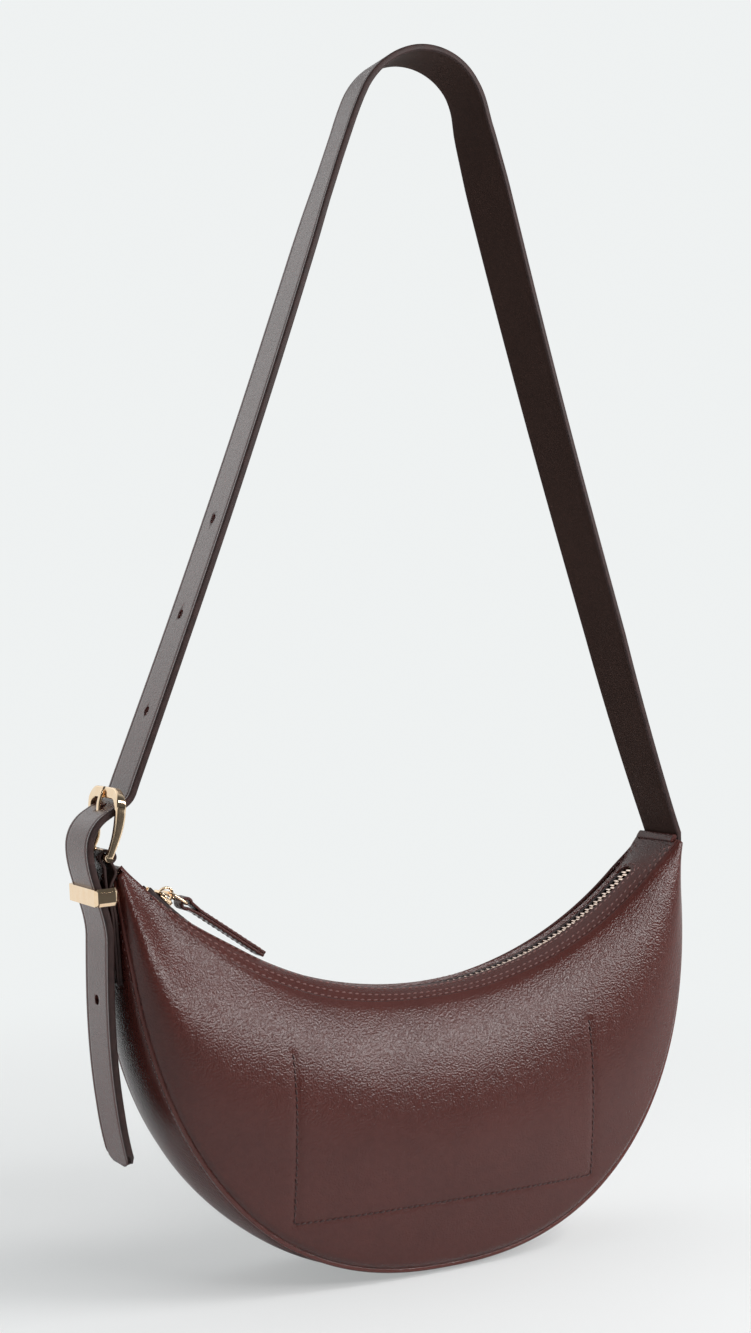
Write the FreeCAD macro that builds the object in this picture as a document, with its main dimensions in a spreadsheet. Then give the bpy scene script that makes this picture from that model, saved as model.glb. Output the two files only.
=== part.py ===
import FreeCAD, Part
import math
import os
import Sketcher

Vector = FreeCAD.Vector
Rotation = FreeCAD.Rotation
Placement = FreeCAD.Placement

# Frame: +Z up, +X to the bag's right, -Y to its front, in millimetres. The origin is on the underside of
# the strap's crown, where a hook or a shoulder carries the bag, so "drop" means distance below the crown.
DIMENSIONS = [
    # Shoulder strap
    ("strap_width", 25),
    ("strap_layer", 1.4),
    ("strap_bond", 0.05),
    ("crown_radius", 30),
    ("lean_left", 19.8),
    ("lean_right", 18.1),
    ("strap_left_drop", 310),
    ("strap_right_drop", 337),
    ("root_lead", 0.5),
    ("root_bend_radius", 9),
    ("root_length", 24),
    ("root_thick", 2.2),
    ("root_shoulder_drop", 346),
    ("root_tongue_width", 20),
    ("hole_radius", 2),
    ("hole_pitch", 42),
    ("lowest_hole_drop", 283),
    ("node_gap", 0.3),
    # Strap stretch through the buckle and the keeper, and the free tail
    ("loop_lead", 7.6),
    ("loop_out_radius", 9),
    ("loop_out_heading", 58),
    ("loop_cross", 10),
    ("loop_bulge_radius", 9.5),
    ("loop_return_heading", -12),
    ("loop_return", 14),
    ("keeper_bend_radius", 30),
    ("keeper_heading", -3),
    ("keeper_run", 17.5),
    ("tail_radius", 520),
    ("tail_turn", 10),
    ("tail_corner", 6),
    ("tail_hole_place", 24),
    ("prong_hole_radius", 2.2),
    # Buckle: frame, prong, tab and keeper
    ("base_bar_x", -146.6),
    ("base_bar_drop", 340.2),
    ("base_bar_radius", 1.6),
    ("frame_lean", 13),
    ("frame_height", 28.2),
    ("frame_half_width", 15.4),
    ("frame_foot_half_width", 14),
    ("frame_bar", 2.4),
    ("frame_top_bar", 3.6),
    ("frame_corner", 8),
    ("frame_thick", 3.2),
    ("prong_radius", 1.2),
    ("prong_eye_radius", 2.9),
    ("prong_width", 4),
    ("prong_clearance", 0.06),
    ("prong_offset", 3.5),
    ("tab_width", 21),
    ("tab_eye_bore", 2),
    ("tab_thick", 2.2),
    ("tab_eye_radius", 3.1),
    ("tab_slot", 5.4),
    ("tab_hang", 28),
    ("tab_bend_radius", 40),
    ("tab_end_heading", -12),
    ("tab_end", 16),
    ("keeper_drop", 353.7),
    ("keeper_x", -148.2),
    ("keeper_height", 7),
    ("keeper_opening", 7.8),
    ("keeper_opening_width", 26),
    ("keeper_front", 1.6),
    ("keeper_back", 1.1),
    ("keeper_side", 1.9),
    # Half moon body: seam curve, depth and leather
    ("tip_drop", 345),
    ("bag_half_width", 139.2),
    ("bag_depth", 174.5),
    ("seam_power", 2.34),
    ("seam_offset", -2),
    ("seam_lean", 5),
    ("tip_half_depth", 12.5),
    ("base_half_depth", 26),
    ("panel_thick", 1.8),
    ("panel_bulge", 11),
    ("tip_bulge", 0.5),
    ("bulge_place", 0.42),
    ("bulge_power", 0.7),
    ("panel_top_radius", 180.2),
    ("panel_reach", 48.3),
    ("seam_allowance", 2.6),
    ("gusset_thick", 1.6),
    ("gusset_crown_tip", 0.6),
    ("gusset_crown_base", 3),
    ("gusset_crown_swell", 1.6),
    ("gusset_margin", 2.3),
    ("bottom_flat", 0.5),
    ("piping_radius", 1.1),
    ("piping_inset", 0.9),
    ("top_half_width", 13.6),
    ("top_crest_radius", 174.4),
    ("top_edge_drop", 3.9),
    ("top_thick", 1.5),
    ("top_reach", 47.6),
    ("slot_half_width", 5),
    ("slot_reach", 45),
    # Lining and slip pocket
    ("lining_thick", 0.5),
    ("lining_gap", 0.4),
    ("lining_trim", 3),
    ("lining_tip_share", 0.07),
    ("pocket_left", -72.5),
    ("pocket_right", 75.5),
    ("pocket_low_drop", 490),
    ("pocket_high_drop", 421),
    # Zip along a circle about zip_centre
    ("zip_centre_drop", 228),
    ("tooth_radius", 177.6),
    ("tooth_pitch", 3),
    ("tooth_length", 1.2),
    ("tooth_reach_out", 2.8),
    ("tooth_reach_in", 0.7),
    ("tooth_height", 2.2),
    ("teeth_start", -42.4),
    ("teeth_end", 41.8),
    ("tape_inner", 3),
    ("tape_bend", 7),
    ("tape_outer", 11.5),
    ("tape_edge_drop", 1.7),
    ("tape_thick", 0.6),
    ("stop_length", 2),
    ("stop_width", 1.6),
    ("stop_height", 2.4),
    ("stop_top_angle", -44.4),
    ("stop_bottom_angle", 42.6),
    ("slider_angle", -42.2),
    ("slider_length", 9),
    ("slider_width", 8.4),
    ("slider_gap", 1.5),
    ("slider_plate", 1.3),
    ("slider_flange", 0.8),
    ("slider_flange_gap", 0.8),
    ("slider_post", 1.8),
    ("slider_post_width", 2.4),
    ("bridge_length", 6.8),
    ("bridge_width", 2),
    ("bridge_height", 4.6),
    ("bridge_wall", 1.3),
    ("bridge_pin_height", 4.8),
    # Zip puller and leather pull
    ("puller_length", 8.5),
    ("puller_bar", 1.3),
    ("puller_inner_width", 8.4),
    ("puller_slope", 33),
    ("pull_length", 42),
    ("pull_width", 7.8),
    ("pull_thick", 2.4),
    ("pull_eye_radius", 2.4),
    ("pull_eye_bore", 1.25),
    ("pull_slope", 33.5),
]

PANEL_STATIONS = 21
GUSSET_STATIONS = 29
SEAM_END_TURN = 1.2

document = FreeCAD.newDocument("half_moon_bag")
sheet = document.addObject("Spreadsheet::Sheet", "Sizes")
for row, (name, number) in enumerate(DIMENSIONS, 1):
    sheet.set(f"A{row}", name)
    sheet.set(f"B{row}", str(number))
    sheet.setAlias(f"B{row}", name)
document.recompute()

nodes = {}


def size(name):
    """A driving dimension, as a plain number."""
    return float(sheet.get(name))


def keep(label, item):
    """Names a finished sub-part and puts it on the list of files to write."""
    item.Label = label
    nodes[label] = item
    return item


def feature(name, shape):
    """A document object that holds a worked-out form."""
    item = document.addObject("Part::Feature", name)
    item.Shape = shape
    return item


def bind(item, **formulas):
    """Binds an object's properties to cells of the sheet."""
    for prop, formula in formulas.items():
        item.setExpression(prop, formula)
    return item


def cut(name, base, tool):
    """The base with the tool's shape taken away."""
    item = document.addObject("Part::Cut", name)
    item.Base = base
    item.Tool = tool
    return item


def fuse(name, base, tool):
    """Two forms grown into one."""
    item = document.addObject("Part::Fuse", name)
    item.Base = base
    item.Tool = tool
    return item


def cylinder(name, radius, height, centre, direction):
    """A cylinder about a centre point, its axis along a direction."""
    item = document.addObject("Part::Cylinder", name)
    bind(item, Radius=radius, Height=height)
    document.recompute()
    turn = Rotation(Vector(0, 0, 1), direction)
    item.Placement = Placement(centre - turn.multVec(Vector(0, 0, item.Height.Value / 2)), turn)
    return item


def box(name, length, width, height):
    """A box whose three sides are bound to the sheet."""
    item = document.addObject("Part::Box", name)
    bind(item, Length=length, Width=width, Height=height)
    document.recompute()
    return item


def arc(first, middle, last):
    """The edge of a circular arc through three points."""
    return Part.Arc(first, middle, last).toShape()


def line(first, last):
    """The edge of a straight line."""
    return Part.LineSegment(first, last).toShape()


# Seam curve: a superellipse from the right tip (turn 0) under the bag to the left tip (turn 180)


def seam_point(turn):
    """A point of the seam as (x, z) and its share of the bag's depth."""
    across = math.cos(math.radians(turn))
    down = math.sin(math.radians(turn))
    power = 2 / size("seam_power")
    share = abs(down) ** power
    x = math.copysign(abs(across) ** power, across) * size("bag_half_width")
    x += size("seam_offset") + size("seam_lean") * share
    return x, -size("tip_drop") - share * size("bag_depth"), share


def seam_frame(turn):
    """The seam's point, outward normal, direction and half depth at a turn."""
    step = 0.05
    ahead = seam_point(turn + step)
    behind = seam_point(turn - step)
    along = Vector(ahead[0] - behind[0], 0, ahead[1] - behind[1]).normalize()
    out = Vector(-along.z, 0, along.x)
    x, z, share = seam_point(turn)
    swell = math.sin(share * math.pi / 2)
    depth = size("tip_half_depth") + (size("base_half_depth") - size("tip_half_depth")) * swell
    return Vector(x, 0, z), out, along, depth, share


def stations(count):
    """Even shares from 0 to 1."""
    return [i / (count - 1) for i in range(count)]


def zip_point(radius, angle):
    """A point at a radius and an angle from straight down about the zip's centre."""
    turn = math.radians(angle)
    return Vector(radius * math.sin(turn), 0, -size("zip_centre_drop") - radius * math.cos(turn))


def zip_place(angle):
    """The placement that carries a form drawn under the zip's centre to an angle along the zip."""
    return Placement(Vector(0, 0, -size("zip_centre_drop")), Rotation(Vector(0, 1, 0), -angle))


# Half moon body


def panel_section(share, side, inset, thick, trim):
    """A bulged cross-section from the top edge to the seam; share runs from the left tip to the right."""
    reach = size("panel_reach")
    top = zip_point(size("panel_top_radius") + trim, reach * (2 * share - 1))
    turn = SEAM_END_TURN + (180 - 2 * SEAM_END_TURN) * (1 - share)
    seam, out, _, depth, _ = seam_frame(turn)
    low = seam - out * (size("seam_allowance") + trim)
    middle = top + (low - top) * size("bulge_place")
    fullness = max(math.sin(math.pi * share), 0) ** size("bulge_power")
    swell = size("tip_bulge") + (size("panel_bulge") - size("tip_bulge")) * fullness
    top_depth = size("top_half_width")
    middle_depth = top_depth + (depth - top_depth) * size("bulge_place") + swell
    places = [(top, top_depth), (middle, middle_depth), (low, depth)]
    outer = [point + Vector(0, side * (deep - inset), 0) for point, deep in places]
    inner = [point + Vector(0, side * (deep - inset - thick), 0) for point, deep in places]
    return Part.Wire([
        arc(*outer),
        line(outer[2], inner[2]),
        arc(inner[2], inner[1], inner[0]),
        line(inner[0], outer[0]),
    ])


def panel_shell(side, inset, thick, trim=0, short=0):
    """A bulged crescent sheet on the front (side -1) or the back (side 1), cut short at both tips."""
    shares = [short + (1 - 2 * short) * share for share in stations(PANEL_STATIONS)]
    sections = [panel_section(share, side, inset, thick, trim) for share in shares]
    return Part.makeLoft(sections, True, False)


def gusset_section(turn, inset, thick, margin):
    """A crowned cross-section of the strip between the two seams."""
    seam, out, _, depth, share = seam_frame(turn)
    crown = size("gusset_crown_tip") + (size("gusset_crown_base") - size("gusset_crown_tip")) * share
    crown += size("gusset_crown_swell") * math.sin(math.pi * share) ** 2
    half = Vector(0, depth - margin, 0)
    outer = [seam - half - out * inset, seam + out * (crown - inset), seam + half - out * inset]
    inner = [point - out * thick for point in outer]
    return Part.Wire([
        arc(*outer),
        line(outer[2], inner[2]),
        arc(inner[2], inner[1], inner[0]),
        line(inner[0], outer[0]),
    ])


def seam_turns(short=0):
    """Turns of the stations along the seam, from the right tip to the left, cut short at both tips."""
    whole = 180 - 2 * SEAM_END_TURN
    return [SEAM_END_TURN + whole * (short + (1 - 2 * short) * share) for share in stations(GUSSET_STATIONS)]


def gusset_shell(inset, thick, margin, short=0):
    """A U-shaped strip under the bag."""
    sections = [gusset_section(turn, inset, thick, margin) for turn in seam_turns(short)]
    return Part.makeLoft(sections, True, False)


def piping_section(turn, side):
    """A round bead on the seam, as three arcs."""
    seam, out, _, depth, _ = seam_frame(turn)
    inset = size("piping_inset")
    centre = seam - out * inset + Vector(0, side * (depth - inset), 0)
    rim = []
    for sixth in range(7):
        angle = math.radians(60 * sixth)
        rim.append(centre + (out * math.cos(angle) + Vector(0, math.sin(angle), 0)) * size("piping_radius"))
    return Part.Wire([arc(rim[k], rim[k + 1], rim[k + 2]) for k in (0, 2, 4)])


def make_panels():
    """Front and back leather panels with the lining behind each of them."""
    inside = size("panel_thick") + size("lining_gap")
    trim, short = size("lining_trim"), size("lining_tip_share")
    for side, word in ((-1, "front"), (1, "back")):
        leather = panel_shell(side, 0, size("panel_thick"))
        keep(f"{word}_panel", feature(f"{word}_panel", leather))
        cloth = panel_shell(side, inside, size("lining_thick"), trim, short)
        keep(f"lining_{word}", feature(f"lining_{word}", cloth))


def make_gusset():
    """The gusset, cut flat where the bag can stand, and its lining."""
    strip = feature("gusset_strip", gusset_shell(0, size("gusset_thick"), size("gusset_margin")))
    floor = box("gusset_floor", "Sizes.bag_half_width", "2 * Sizes.base_half_depth", "Sizes.strap_width")
    lowest = -size("tip_drop") - size("bag_depth") - size("gusset_crown_base")
    below = lowest + size("bottom_flat") - size("strap_width")
    corner = Vector(-size("bag_half_width") / 2, -size("base_half_depth"), below)
    floor.Placement = Placement(corner, Rotation())
    keep("gusset", cut("gusset", strip, floor))
    inside = size("gusset_thick") + size("lining_gap")
    margin = size("gusset_margin") + size("lining_trim")
    cloth = gusset_shell(inside, size("lining_thick"), margin, size("lining_tip_share"))
    keep("lining_gusset", feature("lining_gusset", cloth))


def make_piping():
    """The two welted edges."""
    for side, word in ((-1, "front"), (1, "back")):
        bead = Part.makeLoft([piping_section(turn, side) for turn in seam_turns()], True, False)
        keep(f"{word}_piping", feature(f"{word}_piping", bead))


def make_slip_pocket():
    """The inner pocket: a piece of the front's curve, cut to the stitched rectangle."""
    inside = size("panel_thick") + 2 * size("lining_gap") + size("lining_thick")
    cloth = panel_shell(-1, inside, size("lining_thick"), size("lining_trim"), size("lining_tip_share"))
    sheet_behind = feature("pocket_curve", cloth)
    frame = box("pocket_frame", "Sizes.pocket_right - Sizes.pocket_left", "2 * Sizes.base_half_depth",
                "Sizes.pocket_low_drop - Sizes.pocket_high_drop")
    corner = Vector(size("pocket_left"), -2 * size("base_half_depth"), -size("pocket_low_drop"))
    frame.Placement = Placement(corner, Rotation())
    pocket = document.addObject("Part::Common", "slip_pocket")
    pocket.Base = sheet_behind
    pocket.Tool = frame
    keep("slip_pocket", pocket)


def revolved(name, wire, reach):
    """A profile drawn under the zip's centre, swept to both sides along the zip."""
    item = document.addObject("Part::Revolution", name)
    item.Source = feature(f"{name}_profile", wire)
    item.Axis = Vector(0, 1, 0)
    item.Base = Vector(0, 0, -size("zip_centre_drop"))
    item.Solid = True
    item.Symmetric = True
    return bind(item, Angle=f"2 * {reach}")


def make_top_panel():
    """The arched strip over the mouth, with its zip slot."""
    crest = size("top_crest_radius")
    edge = crest + size("top_edge_drop")
    half = Vector(0, size("top_half_width"), 0)
    sink = Vector(0, 0, -size("top_thick"))
    outer = [zip_point(edge, 0) - half, zip_point(crest, 0), zip_point(edge, 0) + half]
    inner = [point + sink for point in outer]
    profile = Part.Wire([
        arc(*outer),
        line(outer[2], inner[2]),
        arc(inner[2], inner[1], inner[0]),
        line(inner[0], outer[0]),
    ])
    strip = revolved("top_strip", profile, "Sizes.top_reach")
    slot = document.addObject("Part::Cylinder", "zip_slot")
    bind(slot, Radius="Sizes.tooth_radius + 2 * Sizes.top_thick", Height="2 * Sizes.slot_half_width",
         Angle="2 * Sizes.slot_reach")
    # The sector starts on its own X axis and is turned to lie evenly about straight down
    turn = Rotation(Vector(0, 1, 0), 90 + size("slot_reach")).multiply(Rotation(Vector(1, 0, 0), 90))
    slot.Placement = Placement(Vector(0, size("slot_half_width"), -size("zip_centre_drop")), turn)
    keep("top_panel", cut("top_panel", strip, slot))


# Zip


def make_tapes():
    """The two woven tapes under the slot's edges."""
    radius = size("tooth_radius")
    half = size("tape_thick") / 2
    drop = size("tape_edge_drop")
    for side, word in ((-1, "front"), (1, "back")):
        upper = [(size("tape_inner"), radius - half), (size("tape_bend"), radius - half),
                 (size("tape_outer"), radius - half + drop)]
        lower = [(across, down + 2 * half) for across, down in reversed(upper)]
        rim = [zip_point(down, 0) + Vector(0, side * across, 0) for across, down in upper + lower]
        tape = revolved(f"zip_tape_{word}", Part.makePolygon(rim + rim[:1]), "Sizes.slot_reach")
        keep(f"zip_tape_{word}", tape)


def small_block(length, low, high, height, radius, angle):
    """A block on the zip's line: from low to high across it, centred on a radius."""
    block = Part.makeBox(length, high - low, height, Vector(-length / 2, low, -radius - height / 2))
    block.Placement = zip_place(angle).multiply(block.Placement)
    return block


def make_teeth():
    """Two rows of separate teeth that mesh between each other."""
    pitch = math.degrees(size("tooth_pitch") / size("tooth_radius"))
    count = int((size("teeth_end") - size("teeth_start")) / pitch)
    for side, word in ((-1, "front"), (1, "back")):
        low, high = sorted((side * size("tooth_reach_out"), -side * size("tooth_reach_in")))
        start = size("teeth_start") + (pitch / 2 if side > 0 else 0)
        row = [small_block(size("tooth_length"), low, high, size("tooth_height"), size("tooth_radius"),
                           start + k * pitch) for k in range(count)]
        keep(f"zip_teeth_{word}", feature(f"zip_teeth_{word}", Part.makeCompound(row)))


def make_stops():
    """A pair of stops at the closed end and one across both rows at the other."""
    near = size("tooth_reach_in")
    far = near + size("stop_width")
    length, height, radius = size("stop_length"), size("stop_height"), size("tooth_radius")
    pair = [small_block(length, low, high, height, radius, size("stop_top_angle"))
            for low, high in ((-far, -near), (near, far))]
    keep("zip_stop_top", feature("zip_stop_top", Part.makeCompound(pair)))
    last = small_block(length, -far, far, height, radius, size("stop_bottom_angle"))
    keep("zip_stop_bottom", feature("zip_stop_bottom", last))


def sketch_on(body, role, name, lift=0):
    """A sketch on one of a body's own planes, lifted along the plane's normal."""
    sketch = body.newObject("Sketcher::SketchObject", name)
    plane = next(item for item in body.Origin.OriginFeatures if item.Role == role)
    sketch.AttachmentSupport = (plane, [""])
    sketch.MapMode = "FlatFace"
    sketch.AttachmentOffset = Placement(Vector(0, 0, lift), Rotation())
    return sketch


def rectangle(sketch, width, height, centre=(0, 0)):
    """A rectangle about a point of the sketch, its sides bound to two formulas of the sheet."""
    corners = [(-1, -1), (1, -1), (1, 1), (-1, 1)]
    points = [Vector(centre[0] + a, centre[1] + b, 0) for a, b in corners]
    sides = [sketch.addGeometry(Part.LineSegment(points[k], points[(k + 1) % 4]), False) for k in range(4)]
    for k in range(4):
        sketch.addConstraint(Sketcher.Constraint("Coincident", sides[k], 2, sides[(k + 1) % 4], 1))
        level = "Horizontal" if k % 2 == 0 else "Vertical"
        sketch.addConstraint(Sketcher.Constraint(level, sides[k]))
    middle = sketch.addGeometry(Part.Point(Vector(*centre, 0)), True)
    sketch.addConstraint(Sketcher.Constraint("Symmetric", sides[0], 1, sides[1], 2, middle, 1))
    sketch.addConstraint(Sketcher.Constraint("DistanceX", -1, 1, middle, 1, centre[0]))
    sketch.addConstraint(Sketcher.Constraint("DistanceY", -1, 1, middle, 1, centre[1]))
    wide = sketch.addConstraint(Sketcher.Constraint("DistanceX", sides[0], 1, sides[0], 2, 2))
    tall = sketch.addConstraint(Sketcher.Constraint("DistanceY", sides[1], 1, sides[1], 2, 2))
    sketch.setExpression(f"Constraints[{wide}]", width)
    sketch.setExpression(f"Constraints[{tall}]", height)
    return sketch


def pad(body, sketch, length, symmetric=False, down=False):
    """Material grown from a sketch."""
    grown = body.newObject("PartDesign::Pad", f"{sketch.Name}_pad")
    grown.Profile = sketch
    grown.SideType = "Symmetric" if symmetric else "One side"
    grown.Reversed = down
    grown.setExpression("Length", length)
    return grown


def pocket(body, sketch, length):
    """Material cut away from a sketch to both of its sides."""
    taken = body.newObject("PartDesign::Pocket", f"{sketch.Name}_pocket")
    taken.Profile = sketch
    taken.SideType = "Symmetric"
    taken.setExpression("Length", length)
    return taken


def make_slider():
    """Two plates with tape flanges, joined by a post in front of the teeth, and a bridge for the puller."""
    body = document.addObject("PartDesign::Body", "zip_slider")
    gap = size("slider_gap")
    plate = ("Sizes.slider_length", "Sizes.slider_width")
    post_at = (size("slider_post") - size("slider_length")) / 2
    flange_at = (size("slider_width") - size("slider_flange")) / 2
    post = sketch_on(body, "XY_Plane", "post")
    rectangle(post, "Sizes.slider_post", "Sizes.slider_post_width", (post_at, 0))
    pad(body, post, "2 * (Sizes.slider_gap + Sizes.slider_plate)", symmetric=True)
    for word, up in (("upper", 1), ("lower", -1)):
        face = rectangle(sketch_on(body, "XY_Plane", f"{word}_plate", up * gap), *plate)
        pad(body, face, "Sizes.slider_plate", down=up < 0)
        for side in (-1, 1):
            rim = sketch_on(body, "XY_Plane", f"{word}_flange_{side + 1}", up * gap)
            rectangle(rim, "Sizes.slider_length", "Sizes.slider_flange", (0, side * flange_at))
            pad(body, rim, "Sizes.slider_gap - Sizes.slider_flange_gap", down=up > 0)
    foot = gap + size("slider_plate")
    arch_at = foot + size("bridge_height") / 2
    arch = sketch_on(body, "XZ_Plane", "bridge")
    rectangle(arch, "Sizes.bridge_length", "Sizes.bridge_height", (0, arch_at))
    pad(body, arch, "Sizes.bridge_width", symmetric=True)
    document.recompute()
    window = sketch_on(body, "XZ_Plane", "bridge_window")
    window_at = arch_at - size("bridge_wall") / 2
    rectangle(window, "Sizes.bridge_length - 2 * Sizes.bridge_wall",
              "Sizes.bridge_height - Sizes.bridge_wall", (0, window_at))
    pocket(body, window, "2 * Sizes.bridge_width")
    seat = Placement(Vector(0, 0, -size("tooth_radius")), Rotation())
    body.Placement = zip_place(size("slider_angle")).multiply(seat)
    keep("zip_slider", body)


def puller_hinge():
    """Where the puller's bar goes through the slider's bridge."""
    return zip_point(size("tooth_radius") - size("bridge_pin_height"), size("slider_angle"))


def pull_hinge():
    """Where the leather pull goes round the puller's far bar."""
    slope = math.radians(size("puller_slope"))
    return puller_hinge() + Vector(math.cos(slope), 0, -math.sin(slope)) * size("puller_length")


def make_puller():
    """A flat metal link: one bar through the bridge, one through the leather pull."""
    body = document.addObject("PartDesign::Body", "zip_puller")
    middle = (size("puller_length") / 2, 0)
    outer = rectangle(sketch_on(body, "XY_Plane", "link"), "Sizes.puller_length + Sizes.puller_bar",
                      "Sizes.puller_inner_width + 2 * Sizes.puller_bar", middle)
    pad(body, outer, "Sizes.puller_bar", symmetric=True)
    document.recompute()
    window = rectangle(sketch_on(body, "XY_Plane", "link_window"), "Sizes.puller_length - Sizes.puller_bar",
                       "Sizes.puller_inner_width", middle)
    pocket(body, window, "2 * Sizes.puller_bar")
    body.Placement = Placement(puller_hinge(), Rotation(Vector(0, 1, 0), size("puller_slope")))
    keep("zip_puller", body)


def make_pull():
    """The leather pull: a folded strip with an eye round the puller's far bar."""
    centre = pull_hinge()
    across = Vector(0, 1, 0)
    turn = Rotation(across, size("pull_slope"))
    strip = box("pull_strip", "Sizes.pull_length", "Sizes.pull_width", "Sizes.pull_thick")
    corner = Vector(0, -size("pull_width") / 2, -size("pull_thick") / 2)
    strip.Placement = Placement(centre + turn.multVec(corner), turn)
    eye = cylinder("pull_eye", "Sizes.pull_eye_radius", "Sizes.pull_width", centre, across)
    bore = cylinder("pull_bore", "Sizes.pull_eye_bore", "2 * Sizes.pull_width", centre, across)
    keep("zip_pull", cut("zip_pull", fuse("pull_leather", strip, eye), bore))


# Strap: bands traced in the XZ plane. A heading is measured from straight down towards -X, and a band's
# outer face lies to the -X side of a path that goes down.


def step_ahead(point, heading, radius, turn):
    """The end of an arc of the path, from its start."""
    first = math.radians(heading)
    last = math.radians(heading + turn)
    swing = math.copysign(radius, turn)
    return point + Vector(math.cos(last) - math.cos(first), 0, math.sin(first) - math.sin(last)) * swing


def direction(heading):
    """The way the path goes at a heading."""
    angle = math.radians(heading)
    return Vector(-math.sin(angle), 0, -math.cos(angle))


def outward(heading):
    """The way a band's outer face looks at a heading."""
    angle = math.radians(heading)
    return Vector(-math.cos(angle), 0, math.sin(angle))


def trace(start, heading, moves):
    """Follows lines (length) and arcs (radius, turn); gives the stretches and the path's end."""
    stretches = []
    point = start
    for move in moves:
        if isinstance(move, tuple):
            radius, turn = move
            middle = step_ahead(point, heading, radius, turn / 2)
            last = step_ahead(point, heading, radius, turn)
            stretches.append([(point, heading), (middle, heading + turn / 2), (last, heading + turn)])
            heading += turn
        else:
            last = point + direction(heading) * move
            stretches.append([(point, heading), (last, heading)])
        point = last
    return stretches, point, heading


def band(start, heading, moves, low, high):
    """The closed outline between two offsets of a path."""
    stretches, _, _ = trace(start, heading, moves)
    sides = []
    for offset in (high, low):
        run = []
        for stretch in stretches:
            points = [point + outward(turn) * offset for point, turn in stretch]
            run.append(arc(*points) if len(points) == 3 else line(*points))
        sides.append(run)
    far = [run[-1].Vertexes[-1].Point for run in sides]
    near = [run[0].Vertexes[0].Point for run in sides]
    edges = sides[0] + [line(far[0], far[1])] + sides[1][::-1] + [line(near[1], near[0])]
    return Part.Wire(Part.__sortEdges__(edges))


def extruded(name, wire, width):
    """A band grown evenly to the front and the back."""
    item = document.addObject("Part::Extrusion", name)
    item.Base = feature(f"{name}_outline", wire)
    item.DirMode = "Custom"
    item.Dir = Vector(0, 1, 0)
    item.Solid = True
    item.Symmetric = True
    return bind(item, LengthFwd=width)


def leg_point(lean, drop, side):
    """A point of the strap's inner face at a drop; side is 1 for the right leg and -1 for the left."""
    angle = math.radians(lean)
    radius = size("crown_radius")
    top = Vector(side * radius * math.cos(angle), 0, radius * (math.sin(angle) - 1))
    return top + Vector(side * math.tan(angle), 0, -1) * (drop + top.z)


def strap_thick():
    """Both layers with the bond between them."""
    return 2 * size("strap_layer") + size("strap_bond")


def strap_route():
    """Start, heading and moves of the strap's inner face from its right end over the crown to the left."""
    lean_left, lean_right = size("lean_left"), size("lean_right")
    start = leg_point(lean_right, size("strap_right_drop"), 1)
    crown_right = leg_point(lean_right, size("crown_radius") * (1 - math.sin(math.radians(lean_right))), 1)
    crown_left = leg_point(lean_left, size("crown_radius") * (1 - math.sin(math.radians(lean_left))), -1)
    end = leg_point(lean_left, size("strap_left_drop"), -1)
    turn = lean_left - (180 - lean_right)
    over = (size("crown_radius"), turn)
    moves = [start.distanceToPoint(crown_right), over, crown_left.distanceToPoint(end)]
    return start, 180 - lean_right, moves


def make_strap():
    """The two bonded layers with the free holes punched through both."""
    start, heading, moves = strap_route()
    lean = size("lean_left")
    across = outward(lean)
    punches = []
    for k in range(3):
        drop = size("lowest_hole_drop") - k * size("hole_pitch") * math.cos(math.radians(lean))
        centre = leg_point(lean, drop, -1) + across * (strap_thick() / 2)
        punch = cylinder(f"strap_hole_{k + 1}", "Sizes.hole_radius", "6 * Sizes.strap_layer", centre, across)
        punches.append(punch)
    holes = document.addObject("Part::MultiFuse", "strap_holes")
    holes.Shapes = punches
    layer = size("strap_layer")
    lining = extruded("strap_lining_band", band(start, heading, moves, 0, layer), "Sizes.strap_width")
    outer = extruded("strap_outer_band", band(start, heading, moves, strap_thick() - layer, strap_thick()),
                     "Sizes.strap_width")
    keep("strap_lining", cut("strap_lining", lining, holes))
    keep("strap_outer", cut("strap_outer", outer, holes))


def make_strap_root():
    """The right end of the strap: bent upright, with a thinner tongue that is sewn in behind the gusset."""
    lean = size("lean_right")
    start = leg_point(lean, size("strap_right_drop") + size("node_gap"), 1)
    moves = [size("root_lead"), (size("root_bend_radius"), -lean), size("root_length")]
    # The right leg is the mirror of a band that goes down to the left
    left = band(Vector(-start.x, 0, start.z), lean, moves, 0, size("root_thick"))
    strip = extruded("root_band", left.mirror(Vector(0, 0, 0), Vector(1, 0, 0)), "Sizes.strap_width")
    trims = []
    for side in (-1, 1):
        trim = box(f"root_trim_{side + 1}", "Sizes.strap_width", "Sizes.strap_width", "2 * Sizes.root_length")
        middle = side * (size("root_tongue_width") + size("strap_width")) / 2
        corner = Vector(start.x - size("strap_width") / 2, middle - size("strap_width") / 2,
                        -size("root_shoulder_drop") - 2 * size("root_length"))
        trim.Placement = Placement(corner, Rotation())
        trims.append(trim)
    keep("strap_root", cut("strap_root", cut("root_front_cut", strip, trims[0]), trims[1]))


def loop_start():
    """The middle of the strap's thickness where the stretch through the buckle begins."""
    lean = size("lean_left")
    inner = leg_point(lean, size("strap_left_drop") + size("node_gap"), -1)
    return inner + outward(lean) * (strap_thick() / 2)


def loop_moves():
    """Behind the frame's top bar, out through its window, round the bulge and down through the keeper."""
    lean = size("lean_left")
    out = size("loop_out_heading")
    back = size("loop_return_heading")
    return [
        size("loop_lead"),
        (size("loop_out_radius"), out - lean),
        size("loop_cross"),
        (size("loop_bulge_radius"), back - out),
        size("loop_return"),
        (size("keeper_bend_radius"), size("keeper_heading") - back),
        size("keeper_run"),
    ]


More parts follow.
